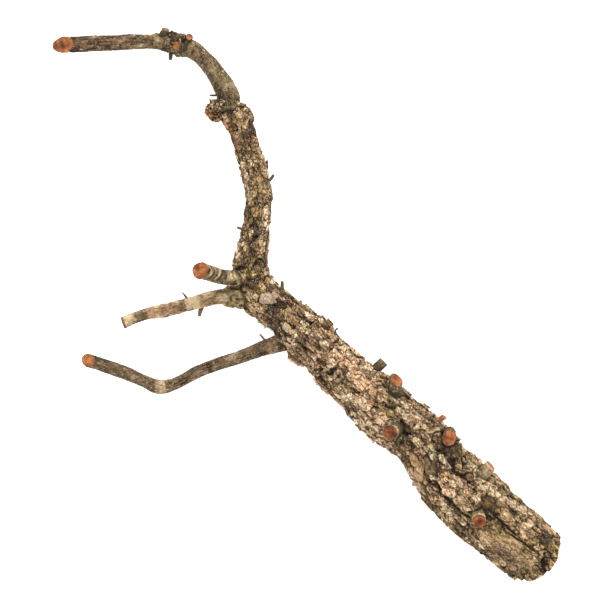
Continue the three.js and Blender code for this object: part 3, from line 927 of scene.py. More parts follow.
def bark_material(
    name,
    tones,
    contrast=1.0,
    pale=(242, 222, 184),
    hue=1.0,
    flake=(4.4, 10),
    crackle=1.0,
    grain=1.45,
    stretch=0.25,
):
    """Bark: flakes and cracks by the tone mask, a painted highlight on the flakes' edges, painted shade
    in fine gaps and painted glints, then darker bark and painted shade in hollows, lichen, moss and raw
    inner bark, and last painted shade in the open cracks and in pits.
    flake is the sizes of the small and large flakes in mm, and stretch draws them out along the
    limb where it is under 1. crackle is how much the flakes and their cracks show."""
    material = bpy.data.materials.new(name)
    n = Nodes(material)
    fine, coarse = n.noise(1.1, 5, 0.75), n.noise(3.4, 5, 0.7)
    streaks = n.noise(1.3, 5, 0.75, n.stretched(stretch))
    small_place = n.warped(n.stretched(1.7 * stretch), 2.0, 2.4)
    large_place = n.warped(n.stretched(1.6 * stretch), 5, 4.5)
    small_crack, small_flake = n.flakes(flake[0], small_place)
    large_crack, large_flake = n.flakes(flake[1], large_place)

    tone = n.mask("tone")
    for pattern, strength in (
        (fine, grain),
        (streaks, 1.6),
        (coarse, 0.45),
        (small_flake, 0.45 * crackle),
        (large_flake, 0.22 * crackle),
    ):
        tone = n.around(tone, pattern, strength * contrast)
    colour = n.ramp(tone, tones)
    warm = n.around(n.mask("warm"), coarse, 1.6)
    pink, olive = n.step(warm, 0.0, 1.3), n.step(warm, 0.0, -1.3)
    colour = n.tint(colour, pink, hue, (255, 226, 214), "MULTIPLY")
    colour = n.tint(colour, olive, hue, (228, 226, 170), "MULTIPLY")

    calm = n.step(n.mask("calm"), 0.55, 0.85)
    crack_share = n.math("SUBTRACT", crackle, n.math("MULTIPLY", calm, 0.8 * crackle))
    # Open cracks where the flakes part: painted dark as shade, and sunk in the bump.
    open_crack = n.math("MULTIPLY", n.step(small_crack, 0.12, 0.03), n.step(coarse, 0.44, 0.54))
    open_crack = n.math("MAXIMUM", open_crack, n.step(large_crack, 0.06, 0.012))
    open_crack = n.math("MULTIPLY", open_crack, crack_share)
    # painted highlight along the flakes' edges beside the cracks
    lip = n.math("MULTIPLY", n.step(small_crack, 0.09, 0.16), n.step(small_crack, 0.3, 0.2))
    colour = n.tint(colour, lip, 0.22 * contrast * crackle, (250, 226, 192))
    # painted shade of fine gaps between flakes, as dark specks
    gap_shade = n.step(n.noise(1.5, 5, 0.75, n.stretched(0.45)), 0.44, 0.39)
    colour = n.tint(colour, gap_shade, 0.78 * contrast, SHADE_BROWN)
    glints = n.step(n.noise(1.6, 5, 0.8, n.stretched(0.6)), 0.575, 0.62)
    colour = n.tint(colour, glints, 0.55 * contrast, (240, 212, 174))

    ragged = n.noise(3.0, 5, 0.7)

    def patches(mask, low, high):
        return n.step(n.around(n.mask(mask), ragged, 1.5), low, high)

    pale_shades = [
        [share * part for share, part in zip(shares, pale)]
        for shares in ((0.7, 0.64, 0.52), (0.95, 0.92, 0.85), (1.03, 1.03, 1.02))
    ]
    lichen = n.ramp(fine, list(zip((0.34, 0.47, 0.62), pale_shades)))
    lichen = n.tint(lichen, olive, hue, (208, 204, 228), "MULTIPLY")
    hollow = n.ramp(fine, [(0.34, (30, 24, 14)), (0.5, (72, 60, 38)), (0.68, (124, 106, 72))])
    raw = n.ramp(fine, [(0.34, (122, 70, 38)), (0.5, (182, 118, 72)), (0.68, (220, 166, 116))])
    moss_grain = n.noise(2.0, 3, 0.6)
    moss = n.ramp(moss_grain, [(0.32, (60, 49, 16)), (0.5, (124, 104, 36)), (0.7, (194, 168, 74))])
    rust = n.step(n.noise(3.4, 5, 0.75), 0.595, 0.64)
    rust = n.math("MULTIPLY", rust, n.step(n.noise(24, 2), 0.4, 0.6))
    # by the dark mask: darker bark, and painted shade in grooves, hollows and under the slab
    colour = n.tint(colour, patches("dark", 0.4, 0.8), 0.85, hollow)
    colour = n.tint(colour, patches("pale", 0.46, 0.66), 0.85, lichen)
    colour = n.tint(colour, rust, 0.62 * crackle, (176, 98, 54))
    colour = n.tint(colour, patches("bare", 0.5, 0.68), 0.72, raw)
    colour = n.tint(colour, patches("moss", 0.42, 0.75), 0.72, moss)
    # painted shade in the open cracks
    colour = n.tint(colour, open_crack, 0.76 * contrast, (42, 30, 18))
    # painted shade in cracks, hollows, crevices and under flakes, by the second mask
    colour = n.tint(colour, n.mask("painted_shade"), 0.5, SHADE_BROWN)
    painted_shade = n.math("MULTIPLY", n.mask("painted_shade"), n.step(n.noise(1.8, 3), 0.15, 0.5))
    colour = n.tint(colour, painted_shade, 0.7, (26, 18, 10))

    roughness = n.math("ADD", 0.82, n.math("MULTIPLY", fine, 0.15))
    bump = n.math("ADD", n.noise(0.9, 4, 0.65), n.math("MULTIPLY", n.noise(2.6, 3, 0.6), 1.4))
    bump = n.math("ADD", bump, n.math("MULTIPLY", small_flake, 0.7))
    bump = n.math("SUBTRACT", bump, n.math("MULTIPLY", open_crack, 0.8))
    n.finish(colour, roughness, bump, 0.85, 0.6)
    return material


def wood_material(name, tones, edge, rings=1.5):
    """Sawn wood: growth rings about rings mm apart by the grain mask, pores, a dark pith, saw
    marks, and a rim of bark by the rim mask."""
    material = bpy.data.materials.new(name)
    n = Nodes(material)
    fine = n.noise(0.8, 4, 0.65)
    ring = n.math("SINE", n.math("MULTIPLY", n.mask("grain"), TURN / rings))
    tone = n.math("ADD", n.mask("tone"), n.math("MULTIPLY", ring, 0.11))
    # painted shade in the saw marks' troughs, taken off the wood's tone
    tone = n.math("SUBTRACT", n.around(tone, fine, 0.8), n.mask("painted_shade"))
    colour = n.ramp(tone, tones)
    colour = n.tint(colour, n.step(n.dots(0.9), 0.2, 0.08), 0.45, (70, 40, 20))
    colour = n.tint(colour, n.step(n.mask("grain"), 1.2, 0.3), 0.3, (88, 48, 28))
    rim = n.step(n.around(n.mask("rim"), n.noise(2.4, 3), 0.12), 0.93, 0.97)
    colour = n.mix(rim, colour, n.ramp(fine, [(0.3, [0.6 * c for c in edge]), (0.65, edge)]))
    roughness = n.math("ADD", 0.66, n.math("MULTIPLY", fine, 0.2))
    n.finish(colour, roughness, n.noise(0.7, 4, 0.7), 0.5, 0.3)
    return material


OLD_TONES = [
    (0.0, (40, 29, 16)),
    (0.22, (90, 67, 39)),
    (0.42, (140, 108, 70)),
    (0.62, (188, 151, 107)),
    (0.82, (223, 192, 150)),
    (1.0, (243, 220, 186)),
]
YOUNG_TONES = [
    (0.0, (40, 30, 20)),
    (0.25, (84, 67, 47)),
    (0.5, (128, 107, 79)),
    (0.75, (172, 150, 116)),
    (1.0, (214, 196, 162)),
]
RAW_TONES = [
    (0.0, (62, 34, 16)),
    (0.3, (108, 60, 31)),
    (0.55, (148, 86, 48)),
    (0.8, (178, 110, 64)),
    (1.0, (208, 154, 102)),
]
OLD_WOOD_TONES = [
    (0.0, (84, 56, 34)),
    (0.35, (132, 98, 66)),
    (0.6, (166, 130, 92)),
    (1.0, (206, 176, 136)),
]
old_bark_material = bark_material("old_bark", OLD_TONES, flake=(3.1, 13))
upper_bark_material = bark_material("upper_bark", OLD_TONES, flake=(6.4, 13), stretch=0.4)
young_bark_material = bark_material(
    "young_bark",
    YOUNG_TONES,
    contrast=0.8,
    pale=(212, 192, 156),
    hue=0.6,
    flake=(3.6, 11),
    crackle=0.15,
    grain=0.5,
    stretch=0.2,
)
stub_bark_material = bark_material(
    "stub_bark",
    YOUNG_TONES,
    contrast=0.8,
    pale=(230, 210, 172),
    hue=0.6,
    flake=(3.4, 9),
    crackle=0.4,
)
raw_wood = wood_material("sawn_wood", RAW_TONES, (104, 78, 52))
old_wood = wood_material("old_sawn_wood", OLD_WOOD_TONES, (96, 62, 40), rings=2.6)


# ---------------------------------------------------------------- the pieces

# Rows and columns of rings, which keep each piece under 200,000 triangles
TRUNK_GRID = (440, 208)
UPPER_GRID = (330, 168)
LOBE_GRID = (96, 120)
STUB_GRID = (36, 60)
SHOOT_GRID = (26, 18)

# Rings of the sawn faces and of the rounded end of the upper limb
BUTT_ROWS, LIMB_FACE_ROWS, STUB_FACE_ROWS, DOME_ROWS = 34, 18, 14, 14

BUTT_REACH = 140  # the thick end's slanted face lies within this distance along the stem, in mm
FORK_LAP = 1.5  # how far the upper limb runs back inside the trunk, in mm
DOME_HEIGHT = 9  # how far the rounded end of the upper limb stands out, in mm


def joined_rings(parts):
    """Several runs of rings and their masks, one after another."""
    masks = {}
    for mask in MASKS:
        rows = [np.broadcast_to(held.get(mask, 0.0), places.shape[:2]) for places, held in parts]
        masks[mask] = np.vstack(rows)
    masks["lie"] = np.vstack([held.get("lie", places) for places, held in parts])
    return np.vstack([places for places, _ in parts]), masks


def reversed_rings(rings, masks):
    """Rings and their masks from the last to the first."""
    return rings[::-1], {mask: values[::-1] for mask, values in masks.items()}


def finish_piece(piece, node):
    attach(piece, "root")
    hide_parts(node)


butt = sawn_face("trunk", (-1, 0, 0))
fork_s = stem.find(sawn_face("trunk", (1, 0, 0))[0])[0]
butt_s = stem.reach(ring_angles(TRUNK_GRID[1]), butt, 0, BUTT_REACH)
trunk_bark = stem_rings(butt_s, fork_s, *TRUNK_GRID)
butt_end = reversed_rings(*sawn_end(trunk_bark[0][0], butt[1], BUTT_ROWS, 7, relief=0.5))
inner = inner_rings(trunk_bark[0][-1], (0.7, 0.3)), {}
rings, masks = joined_rings([butt_end, trunk_bark, inner])
trunk = ring_mesh("trunk_bark", rings, masks, BUTT_ROWS, 0, [old_bark_material, old_wood], False)
finish_piece(trunk, "trunk")

upper_bark = stem_rings(fork_s - FORK_LAP, stem.length, *UPPER_GRID)
inner = inner_rings(upper_bark[0][0], (0.3, 0.7)), {}
last = upper_bark[0][-1]
rise = np.linspace(0.12, 1.4, DOME_ROWS)[:, None, None]
outward = DOME_HEIGHT * stem.read("along", stem.length)
dome = last.mean(0) + np.cos(rise) * (last - last.mean(0)) + np.sin(rise) * outward
dome = dome + (1.3 * fbm(dome / 6, 301, 4))[..., None] * unit(dome - last.mean(0))
dome = dome, {"tone": 0.4 + 0.3 * fbm(dome / 5, 302)}
rings, masks = joined_rings([inner, upper_bark, dome])
upper = ring_mesh("upper_limb_bark", rings, masks, 0, 0, [upper_bark_material], False)
finish_piece(upper, "upper_limb")


def knob_lobe(name, centre, size, seed, torn):
    """A bumpy lobe of bark that grew over a lost leader. torn is the way that its raw edge looks."""
    rise = np.linspace(0.04, math.pi - 0.04, LOBE_GRID[0])[:, None]
    turn = ring_angles(LOBE_GRID[1])
    out = np.sin(rise)
    way = np.stack([out * np.cos(turn), out * np.sin(turn), np.cos(rise) + 0 * turn], axis=-1)
    q = way * size
    warp = np.stack([noise(q / 5, seed + k) for k in range(3)], axis=-1)
    edge, chunk_id, off = cells((q + 2.2 * warp) / 6.2, seed + 4)
    slope = np.cos(chunk_id * 53) * off[..., 0] + np.sin(chunk_id * 53) * off[..., 2]
    crack = smooth(0.14, 0.0, edge)
    chip_id = cells((q + 1.2 * warp) / 2.8, seed + 5)[1]
    height = 2.2 * (chunk_id - 0.5) + 2.4 * slope - 1.4 * crack + chip_id - 0.5
    height = height + 1.6 * fbm(q / 9, seed + 6, 3) + 0.5 * fbm(q / 2, seed + 7, 2)
    masks = {
        "lie": q,
        # The tone rises with height, painted shade low and painted light high, and the next mask paints
        # shade into cracks and hollows.
        "tone": 0.4 + 0.3 * (chunk_id - 0.5) + 0.25 * (chip_id - 0.5) + 0.05 * height,
        "painted_shade": np.maximum(0.85 * crack, cavity(height)),
        "bare": smooth(0.35, 0.85, way @ unit(np.array(torn)) + 0.3 * noise(q / 4, seed + 8)),
        "pale": 0.5 * smooth(0.3, 0.8, fbm(q / 8, seed + 9, 3)),
        "moss": 0.4 * smooth(0.3, 0.9, fbm(q / 9, seed + 10, 3)),
    }
    rings = centre + q + height[..., None] * unit(way / size)
    rings[..., 2] = np.maximum(rings[..., 2], 0)
    piece = ring_mesh(name, *reversed_rings(rings, masks), 0, 0, [upper_bark_material], False)
    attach(piece, "root")


knob_lobe("knob_lobe_left", *KNOB[0], 320, (-0.1, 0.95, 0.25))
knob_lobe("knob_lobe_right", *KNOB[1], 350, (0, 0, -1))


def skin_base(limb, s, angle, seed, rough=1.0):
    """Coordinates for a young skin's patterns, its height in mm and its masks."""
    q = bark_places(limb, s, angle)
    height = rough * (0.5 * fbm(q / (5, 5, 14), seed, 4) + 0.22 * fbm(q / 1.6, seed + 1, 3))
    height = height + 0.5 * fbm(q / (12, 12, 22), seed + 2, 2)
    masks = {
        "lie": q,
        "tone": 0.5 + 0.3 * fbm(q / (8, 8, 13), seed + 3, 4) + 0.16 * fbm(q / 2, seed + 4, 2),
        "painted_shade": np.zeros_like(s),
        "moss": 0.35 * smooth(0.2, 0.9, fbm(q / 9, seed + 5, 3)),
        "pale": 0.5 * smooth(0.1, 0.8, fbm(q / 7, seed + 6, 3)),
        "bare": np.zeros_like(s),
        "dark": 0.4 * smooth(0.3, 0.9, fbm(q / 9, seed + 7, 3)),
    }
    return q, height, masks


def crook_skin(limb, s, angle):
    """Fine rings, then a browner ridged tip, with a lumpy node between and a rough foot."""
    q, height, masks = skin_base(limb, s, angle, 400)
    places = limb.put(s, angle, limb.read("radius", s))
    height = round_stubs(places, height, masks, crook_roots, 2.2)
    tip = smooth(158, 180, s)
    knot = smooth(20, 7, np.abs(s - limb.find(CROOK_NODE)[0]) + 3 * noise(q / 5, 405))
    warp = np.stack([noise(q / 3, seed) for seed in (406, 407, 408)], axis=-1)
    edge, lump_id, _ = cells((q + 1.5 * warp) / 6.5, 409)
    crack = smooth(0.22, 0.0, edge)
    height = height + knot * (2.0 * (lump_id - 0.4) - 1.6 * crack + 1.5)
    ridge = tip * smooth(0.75, 1.0, 1 - np.abs(noise(q / (2.4, 2.4, 13), 410)))
    rings = (1 - tip) * smooth(0.88, 1.0, 1 - np.abs(noise(q / (14, 14, 4.5), 411)))
    foot = smooth(34, 22, s + 3 * noise(q / 4, 412))
    height = height - 0.7 * ridge - 0.6 * rings + foot * (1.2 + 1.5 * noise(q / 5, 413))
    # painted shade in the tip's furrows, between the rings and in the node's cracks
    masks["painted_shade"] = np.maximum.reduce([0.6 * ridge, 0.75 * rings, 0.9 * knot * crack])
    raise_mask(masks, "dark", 0.6 * smooth(5, 2, np.abs(s - 26 + 4 * noise(q / 6, 415))))
    spot = smooth(8, 5, np.abs(s - limb.length + 32) + 3 * noise(q / 4, 414))
    raise_mask(masks, "pale", 0.85 * spot)
    raise_mask(masks, "pale", 0.7 * knot * smooth(0.55, 0.8, lump_id) * (1 - crack))
    root = smooth(36, 28, s + 3 * noise(q / 4, 416))
    masks["pale"] *= 1 - root
    masks["tone"] -= 0.24 * tip + 0.2 * knot + 0.18 * root + 0.09 * (1 - tip)
    masks["warm"] = 1.1 * tip - 0.6 * (1 - tip) + 0.5 * knot
    return height, masks


def short_skin(limb, s, angle):
    """Tight slanted wrinkles, painted dark as shade in their troughs and lighter as lit on their crests.
    """
    q, height, masks = skin_base(limb, s, angle, 430)
    bent = s + 2.5 * np.cos(angle * 2 + s / 12)
    waves = noise(np.stack([q[..., 0] / 16, q[..., 1] / 16, bent / 2.9], axis=-1), 435)
    # The tone follows the wrinkles: painted shade in their troughs and painted light on their crests.
    masks["tone"] += 0.6 * waves - 0.16
    masks["painted_shade"] = 0.9 * smooth(-0.1, -0.4, waves)
    raise_mask(masks, "dark", smooth(0.0, -0.3, waves))
    raise_mask(masks, "pale", 0.6 * smooth(0.15, 0.5, waves))
    raise_mask(masks, "moss", 0.3)
    masks["warm"] = -0.6
    return height + 0.9 * waves, masks


def middle_skin(limb, s, angle):
    """Pale crust in bands, a crusty mossy foot, bare wood before the cut, and one bump."""
    q, height, masks = skin_base(limb, s, angle, 450)
    left = limb.length - s
    bands = noise(q / (22, 22, 8), 455)
    foot = smooth(26, 19, s + 4 * noise(q / 5, 459))
    crust = noise(q / 4, 460)
    past = smooth(40, 60, s)
    height = height + foot * (1.2 + 2.2 * crust)
    masks["tone"] += 0.2 + 0.2 * bands + foot * (0.12 + 0.2 * crust)
    masks["warm"] = (0.9 + 0.6 * noise(q / 12, 456)) * (1 - foot)
    masks["bare"] = 0.5 * smooth(0.2, 0.8, fbm(q / 6, 457, 3))
    raise_mask(masks, "moss", foot * (0.6 + 0.5 * crust))
    # painted shade in the hollows of the crusty foot
    raise_mask(masks, "dark", 0.3 * foot * smooth(0.1, -0.4, crust))
    raise_mask(masks, "dark", 0.7 * smooth(-0.3, -0.5, bands) * past)
    # painted shade in the hollows of the crusty foot
    raise_mask(masks, "painted_shade", 0.4 * foot * smooth(-0.1, -0.5, crust))
    raise_mask(masks, "pale", 0.8 * smooth(-0.05, 0.3, bands) * past)
    raise_mask(masks, "pale", 0.5 * smooth(28, 22, left))
    sawn = smooth(20.6, 19.2, left + 0.8 * noise(q / 3, 461))
    masks["dark"] *= 1 - sawn
    masks["pale"] *= 1 - sawn
    raise_mask(masks, "bare", sawn)
    raise_mask(masks, "painted_shade", 0.55 * sawn)
    bump_s, bump_a = limb.find(MIDDLE_BUMP)
    off = np.hypot(s - bump_s, half_turn(angle - bump_a) * 8)
    height = height + 2.8 * smooth(6, 1, off) + 0.5 * noise(q / (30, 30, 6), 458)
    return height, masks


def lower_skin(limb, s, angle):
    """Fine ridges, darker past the bend, which is worn pale."""
    q, height, masks = skin_base(limb, s, angle, 470, 1.1)
    ridge = smooth(0.78, 1.0, 1 - np.abs(noise(q / (2.6, 2.6, 16), 475)))
    from_bend = s - limb.find(LOWER_BEND)[0]
    past = smooth(-4, 4, from_bend)
    worn = smooth(9, 6, np.abs(from_bend) + 3 * noise(q / 4, 476))
    band = smooth(6, 3, np.abs(from_bend + 74) + 5 * noise(q / 5, 478))
    near_end = smooth(14, 9, limb.length - s + 3 * noise(q / 4, 479))
    # painted shade in the fine furrows
    masks["painted_shade"] = 0.45 * ridge
    masks["tone"] += 0.3 * worn - 0.17 - 0.06 * past
    masks["warm"] = 0.4 + 0.5 * worn + 0.6 * noise(q / 14, 480)
    raise_mask(masks, "dark", 0.5 * past * smooth(-0.2, 0.4, fbm(q / 10, 477, 3)))
    masks["pale"] *= 0.8
    for pale in (0.45 * worn, 0.42 * band, 0.55 * near_end):
        raise_mask(masks, "pale", pale)
    return (height - 0.5 * ridge) * (1 - 0.5 * worn), masks


def young_limb(node, limb, columns, step, skin):
    """A younger limb from inside its parent to its sawn end, with rings about step mm apart."""
    name = f"{node}_bark"
    face = sawn_face(node, limb.along[-1])
    stop = limb.reach(ring_angles(columns), face, 0.75 * limb.length, limb.length)
    s, angle = ring_grid(0, stop, int(limb.length / step), columns)
    height, masks = skin(limb, s, angle)
    places = limb.put(s, angle, limb.read("radius", s) + height)
    places[..., 2] = np.maximum(places[..., 2], 0)
    # painted shade in hollows
    raise_mask(masks, "painted_shade", cavity(height * 1.5))
    inner = inner_rings(places[0], (0.3, 0.7)), {}
    end = sawn_end(places[-1], face[1], LIMB_FACE_ROWS, seed=len(name))
    rings, masks = joined_rings([inner, (places, masks), end])
    piece = ring_mesh(name, rings, masks, 0, LIMB_FACE_ROWS, [young_bark_material, raw_wood])
    finish_piece(piece, node)


young_limb("crook_limb", crook, 84, 0.9, crook_skin)
young_limb("short_twig", short_twig, 80, 0.7, short_skin)
young_limb("middle_twig", middle_twig, 72, 0.8, middle_skin)
young_limb("lower_twig", lower_twig, 72, 0.8, lower_skin)


# How each stub differs: tone of its bark, dark share, cream edge, raw share, tone of its wood. The dark
# share is partly painted shade, and stub_5's body is painted fully dark as shade.
STUB_LOOKS = {
    "stub_1": (-0.25, 0.8, 0.2, 0.0, 0.1),
    "stub_2": (-0.2, 0.7, 0.3, 0.0, 0.1),
    "stub_3": (-0.15, 0.8, 0.6, 0.0, -0.14),
    "stub_4": (0.1, 0.0, 0.0, 0.9, 0.05),
    "stub_5": (-0.3, 1.0, 0.3, 0.0, 0.02),
    "stub_6": (0.12, 0.1, 0.7, 0.5, 0.05),
    "stub_7": (-0.3, 1.0, 0.0, 0.2, -0.5),
    "stub_8": (0.02, 0.6, 0.6, 0.0, -0.2),
    "stub_9": (0.15, 0.0, 0.0, 0.6, 0.1),
    "stub_10": (0.15, 0.0, 0.0, 0.6, 0.1),
    "crook_stub_1": (-0.3, 0.9, 0.0, 0.2, 0.05),
    "crook_stub_2": (-0.2, 0.7, 0.3, 0.2, 0.0),
    "crook_stub_3": (-0.2, 0.6, 0.1, 0.3, -0.1),
}
WEATHERED = ("stub_7", "stub_9", "stub_10")  # the stubs with old wood


def pruned_stub(node):
    """A sawn-off side branch: a short piece of bark and its cut face."""
    root, way, radius, face, facing = stub_shapes[node]
    seed = 500 + 7 * (TRUNK_STUBS + CROOK_STUBS).index(node)
    on_trunk = node in TRUNK_STUBS
    back = root - (13 if on_trunk else 7) * way
    waist = radius * (0.86 if node == "stub_5" else 0.96 if on_trunk else 1.05)
    route = [(*back, waist), (*root, waist), (*face, radius), (*(face + radius * way), radius)]
    limb = Limb(route, UP if abs(way[2]) < 0.8 else np.array([1.0, 0, 0]))
    rows, columns = STUB_GRID
    stop = limb.reach(ring_angles(columns), (face, facing), 4, limb.length)
    s, angle = ring_grid(0, stop, rows, columns)
    q, height, masks = skin_base(limb, s, angle, seed)
    height = height + 0.05 * radius * fbm(q / radius, seed + 3, 2)
    tone, dark, cream, raw, wood_tone = STUB_LOOKS[node]
    ragged = 1.4 * noise(q / 3, seed + 8)
    masks["tone"] += tone
    masks["bare"] = raw
    # painted shade in hollows and towards the root, where the stub meets its limb; the dark share
    # darkens the body, partly as painted shade
    raise_mask(masks, "painted_shade", cavity(height * 1.5))
    raise_mask(masks, "painted_shade", 0.5 * smooth(0.62, 0.38, s / stop + 0.1 * ragged))
    raise_mask(masks, "dark", dark * smooth(0.95, 0.7, s / stop))
    raise_mask(masks, "pale", cream * smooth(3.4, 1.2, stop - s + ragged))
    height = height - 0.06 * radius * smooth(1.4, 0.2, stop - s)
    places = limb.put(s, angle, limb.read("radius", s) + height)
    inner = inner_rings(places[0], (0.3, 0.7)), {}
    end, end_masks = sawn_end(places[-1], facing, STUB_FACE_ROWS, seed)
    end_masks["tone"] += wood_tone
    rings, masks = joined_rings([inner, (places, masks), (end, end_masks)])
    materials = [stub_bark_material, old_wood if node in WEATHERED else raw_wood]
    piece = ring_mesh(f"{node}_wood", rings, masks, 0, STUB_FACE_ROWS, materials)
    finish_piece(piece, node)


for node in TRUNK_STUBS + CROOK_STUBS:
    pruned_stub(node)


# How dark and how raw each shoot is; the others are nearly black
SHOOT_LOOKS = {
    "shoot_1": (0.45, 0.35),
    "shoot_2": (0.0, 0.45),
    "shoot_3": (0.1, 0.5),
    "shoot_5": (0.5, 0.35),
    "shoot_6": (0.5, 0.45),
    "shoot_7": (0.5, 0.3),
    "shoot_8": (0.1, 0.45),
}
BLACK_SHOOT = (0.85, 0.0)


def thin_shoot(node, parent):
    """A thin dry shoot, or what is left of one."""
    points = np.array(spine(node, 3))
    gaps = [np.linalg.norm(end - parent.centre, axis=1).min() for end in points[[0, -1], :3]]
    if gaps[0] > gaps[1]:
        points = points[::-1]
    way = unit(points[0, :3] - points[-1, :3])
    points = np.vstack([np.append(points[0, :3] + 5 * way, points[0, 3]), points])
    limb = Limb(points, np.array([0.3, 0.8, 0.52]))
    s, angle = ring_grid(0, limb.length, *SHOOT_GRID)
    _, height, masks = skin_base(limb, s, angle, 700 + 5 * SHOOTS.index(node), 0.5)
    radius = limb.read("radius", s) * (1.2 - 0.3 * s / limb.length) + 0.5 * height
    places = limb.put(s, angle, np.maximum(0.5, radius))
    dark, raw = SHOOT_LOOKS.get(node, BLACK_SHOOT)
    raise_mask(masks, "dark", dark)
    masks["bare"] = raw
    masks["tone"] -= 0.2
    inner = inner_rings(places[0], (0.5,)), {}
    tip = inner_rings(places[-1], (0.8, 0.4)), {"bare": 0.6, "dark": 0.6, "tone": 0.4}
    rings, masks = joined_rings([inner, (places, masks), tip])
    piece = ring_mesh(f"{node}_wood", rings, masks, 0, 0, [stub_bark_material])
    finish_piece(piece, node)


# Loose bark: distance along the stem, and how many flakes each 10 mm of it carries
FLAKE_DENSITY = np.array(
    [(0, 9), (150, 9), (200, 14), (380, 16), (430, 24), (500, 16), (560, 8), (730, 8)]
)
FLAKE_SIDES = 12
FLAKE_WIDTHS = (1.8, 4.6)  # half widths, in mm
FLAKE_LENGTHS = (1.1, 1.9)  # half lengths, in half widths
FLAKE_THICKNESS = (0.8, 1.5)  # in mm
FLAKE_LIFT = 0.5  # how far flakes tilt and stand off the bark, in mm

# A flake's rings from the middle of its top to the middle of its underside: how far out, how high, and
# how much lighter; the rim is painted lighter as a highlight and the underside darker as shade
FLAKE_RINGS = (
    (0.0, 1, 0),
    (0.5, 1, 0),
    (0.88, 0.85, 0.05),
    (1.0, 0.45, 0.1),
    (0.94, -1.0, -0.3),
    (0.0, -1.2, -0.4),
)
EDGE_ROWS = 16  # the first rows of each grid, which carry no flakes


def flake_faces():
    """The faces of one flake: two fans and the bands between its rings."""
    inner_count = len(FLAKE_RINGS) - 2
    rings = 1 + np.arange(inner_count * FLAKE_SIDES).reshape(inner_count, FLAKE_SIDES)
    edges = [list(zip(ring, np.roll(ring, -1).tolist())) for ring in rings.tolist()]
    faces = [(0, a, b) for a, b in edges[0]]
    for low, high in zip(edges, edges[1:]):
        faces += [(a, c, d, b) for (a, b), (c, d) in zip(low, high)]
    return faces + [(inner_count * FLAKE_SIDES + 1, b, a) for a, b in edges[-1]]


def loose_flakes(name, grid, picks, seed):
    """Thin loose plates of bark on the stem. picks are the rows and columns of the grid where they
    lie."""
    places, masks = grid
    rng = np.random.default_rng(seed)
    count, sides = len(picks), FLAKE_SIDES
    rows, columns = picks[:, 0], picks[:, 1]
    at, lie = places[rows, columns], masks["lie"][rows, columns]
    s = lie[:, 2]
    outward = unit(at - stem.read("centre", s))
    along = stem.read("along", s)
    side = unit(np.cross(along, outward))
    turn = rng.normal(0, 0.35, count)[:, None]
    along, side = (
        np.cos(turn) * along + np.sin(turn) * side,
        np.cos(turn) * side - np.sin(turn) * along,
    )
    width = rng.uniform(*FLAKE_WIDTHS, count)[:, None]
    length = width * rng.uniform(*FLAKE_LENGTHS, count)[:, None]
    thickness = rng.uniform(*FLAKE_THICKNESS, count)[:, None]
    around = ring_angles(sides) + rng.uniform(-0.2, 0.2, (count, sides))
    spread = rng.uniform(0.68, 1.12, (count, sides))
    tilt = rng.normal(0, FLAKE_LIFT, (count, 2))
    raised = rng.uniform(0.1, 0.7, count)[:, None] * FLAKE_LIFT
    girth = stem.read("radius", s)[:, None]
    tone = masks["tone"][rows, columns][:, None] + rng.normal(0, 0.13, count)[:, None]
    points, tones, underside_shades = [], [], []
    for share, level, lighter in FLAKE_RINGS:
        u = share * spread * length * np.cos(around)
        v = share * spread * width * np.sin(around)
        rough = rng.normal(0, 0.16, (count, sides)) * (0.3 < share)
        rise = raised + 0.5 * thickness * level + tilt[:, :1] * u / length
        rise = rise + tilt[:, 1:] * v / width + rough - v * v / (2 * girth)
        if share == 0:
            u, v, rise = (x.mean(1, keepdims=True) for x in (u, v, rise))
        point = at[:, None] + u[..., None] * along[:, None] + v[..., None] * side[:, None]
        points.append(point + rise[..., None] * outward[:, None])
        tones.append(np.broadcast_to(tone + lighter, u.shape))
        # painted shade on the flakes' undersides
        underside_shades.append(np.full(u.shape, 0.7 if level < 0 else 0.0))
    points = np.concatenate(points, axis=1)
    points[..., 2] = np.maximum(points[..., 2], 0)
    per = points.shape[1]
    one = flake_faces()
    faces = [tuple(k * per + corner for corner in face) for k in range(count) for face in one]
    bits = {
        mask: np.repeat(masks[mask][rows, columns], per)
        for mask in ("moss", "pale", "bare", "warm", "dark", "calm")
    }
    bits["tone"] = np.concatenate(tones, axis=1).ravel()
    bits["painted_shade"] = np.concatenate(underside_shades, axis=1).ravel()
    bits["lie"] = (lie[:, None] + (points - at[:, None])).reshape(-1, 3)
    vertices = points.reshape(-1, 3)
    piece = make_mesh(name, vertices, faces, bits, [old_bark_material], smooth_shaded=False)
    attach(piece, "root")


def bark_picks(grid, low, high, seed):
    """Random places for loose flakes: fewer where the bark is calm or dark, and none near the
    ground, in the first rows or by a stub's root."""
    places, masks = grid
    rng = np.random.default_rng(seed)
    distances, counts = FLAKE_DENSITY.T
    mean_count = np.interp(np.linspace(low, high, 50), distances, counts).mean()
    total = int(mean_count * (high - low) / 10)
    weight = np.interp(masks["lie"][..., 2], distances, counts) * (1 - 0.8 * masks["calm"])
    weight = weight * (1 - np.minimum(masks["dark"], 1) * 0.7) * (places[..., 2] > 6)
    weight[:EDGE_ROWS] = 0
    for root, _, radius in trunk_roots:
        weight = weight * (np.linalg.norm(places - root, axis=-1) > radius + 11)
    chosen = rng.choice(weight.size, total, replace=False, p=(weight / weight.sum()).ravel())
    return np.stack(np.unravel_index(chosen, weight.shape), axis=1)


for name, grid, low, high, seed in (
    ("trunk_flakes", trunk_bark, 10, fork_s, 910),
    ("upper_limb_flakes", upper_bark, fork_s, stem.length, 920),
):
    loose_flakes(name, grid, bark_picks(grid, low, high, seed), seed + 1)


SHOOT_PARENTS = {
    "shoot_4": lower_twig,
    "shoot_5": middle_twig,
    "shoot_6": middle_twig,
    "shoot_9": crook,
    "shoot_10": crook,
}
for node in SHOOTS:
    thin_shoot(node, SHOOT_PARENTS.get(node, stem))


# ---------------------------------------------------------------- floor, light and camera

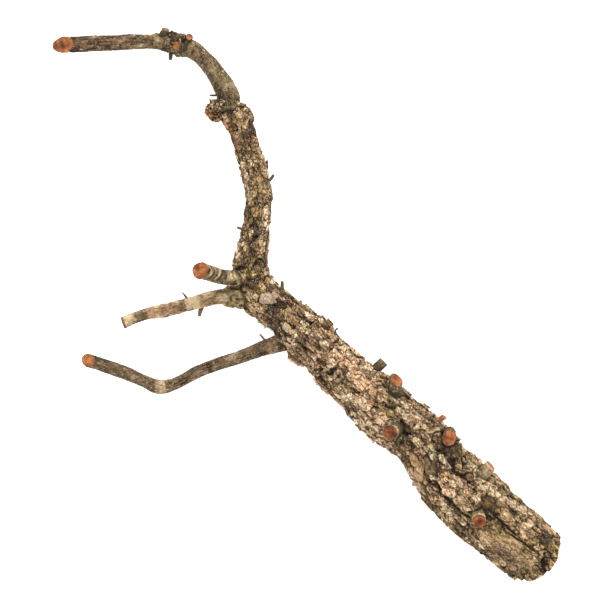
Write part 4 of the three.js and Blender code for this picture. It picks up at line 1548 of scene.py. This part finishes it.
# In metres
FLOOR_SIZE, FLOOR_DROP = 30, 0.0005
CAMERA_HEIGHT = 2.04
CAMERA_SLIP = (0.0014, -0.0524)  # how far the camera stands from over the branch's middle

WHITE = (1, 1, 1, 1)
FLOOR_GLOW, WORLD_LIGHT = 0.6, 0.9
CAMERA_TURN = math.radians(225)
LENS, SENSOR_WIDTH = 100, 36

floor_material = bpy.data.materials.new("floor")
n = Nodes(floor_material, by_limb=False)
floor_tone = n.ramp(n.noise(900, 1), [(0.3, (250, 250, 249)), (0.7, (252, 252, 252))])
floor_shader = n.finish(floor_tone, 0.9, n.noise(40, 1), 0.02, 0.1)
n.feed(floor_shader, **{"Emission Color": WHITE, "Emission Strength": FLOOR_GLOW})
bpy.ops.mesh.primitive_plane_add(size=FLOOR_SIZE, location=(0, 0, -FLOOR_DROP))
floor = bpy.context.object
floor.name = "floor"
floor.data.materials.append(floor_material)
floor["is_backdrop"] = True

world = bpy.data.worlds.new("studio")
world.use_nodes = True
background = world.node_tree.nodes["Background"]
background.inputs[0].default_value = WHITE
background.inputs[1].default_value = WORLD_LIGHT
bpy.context.scene.world = world


def area_light(name, place, size, power):
    """A square light that looks at the origin."""
    light = bpy.data.lights.new(name, "AREA")
    light.size, light.energy = size, power
    lamp = bpy.data.objects.new(name, light)
    lamp.location = place
    lamp.rotation_euler = (-Vector(place)).to_track_quat("-Z", "Y").to_euler()
    bpy.context.scene.collection.objects.link(lamp)


area_light("key", (1.3, -1.9, 1.9), 1.5, 68)
area_light("fill", (-1.8, 1.0, 2.2), 2.2, 24)

camera_data = bpy.data.cameras.new("camera")
camera_data.lens, camera_data.sensor_width = LENS, SENSOR_WIDTH
camera = bpy.data.objects.new("camera", camera_data)
middle = (cad_low + cad_high) / 2
camera.location = (middle.x + CAMERA_SLIP[0], middle.y + CAMERA_SLIP[1], CAMERA_HEIGHT)
camera.rotation_euler = (0, 0, CAMERA_TURN)
bpy.context.scene.collection.objects.link(camera)
bpy.context.scene.camera = camera
bpy.context.scene.view_settings.view_transform = "Standard"

low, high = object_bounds()
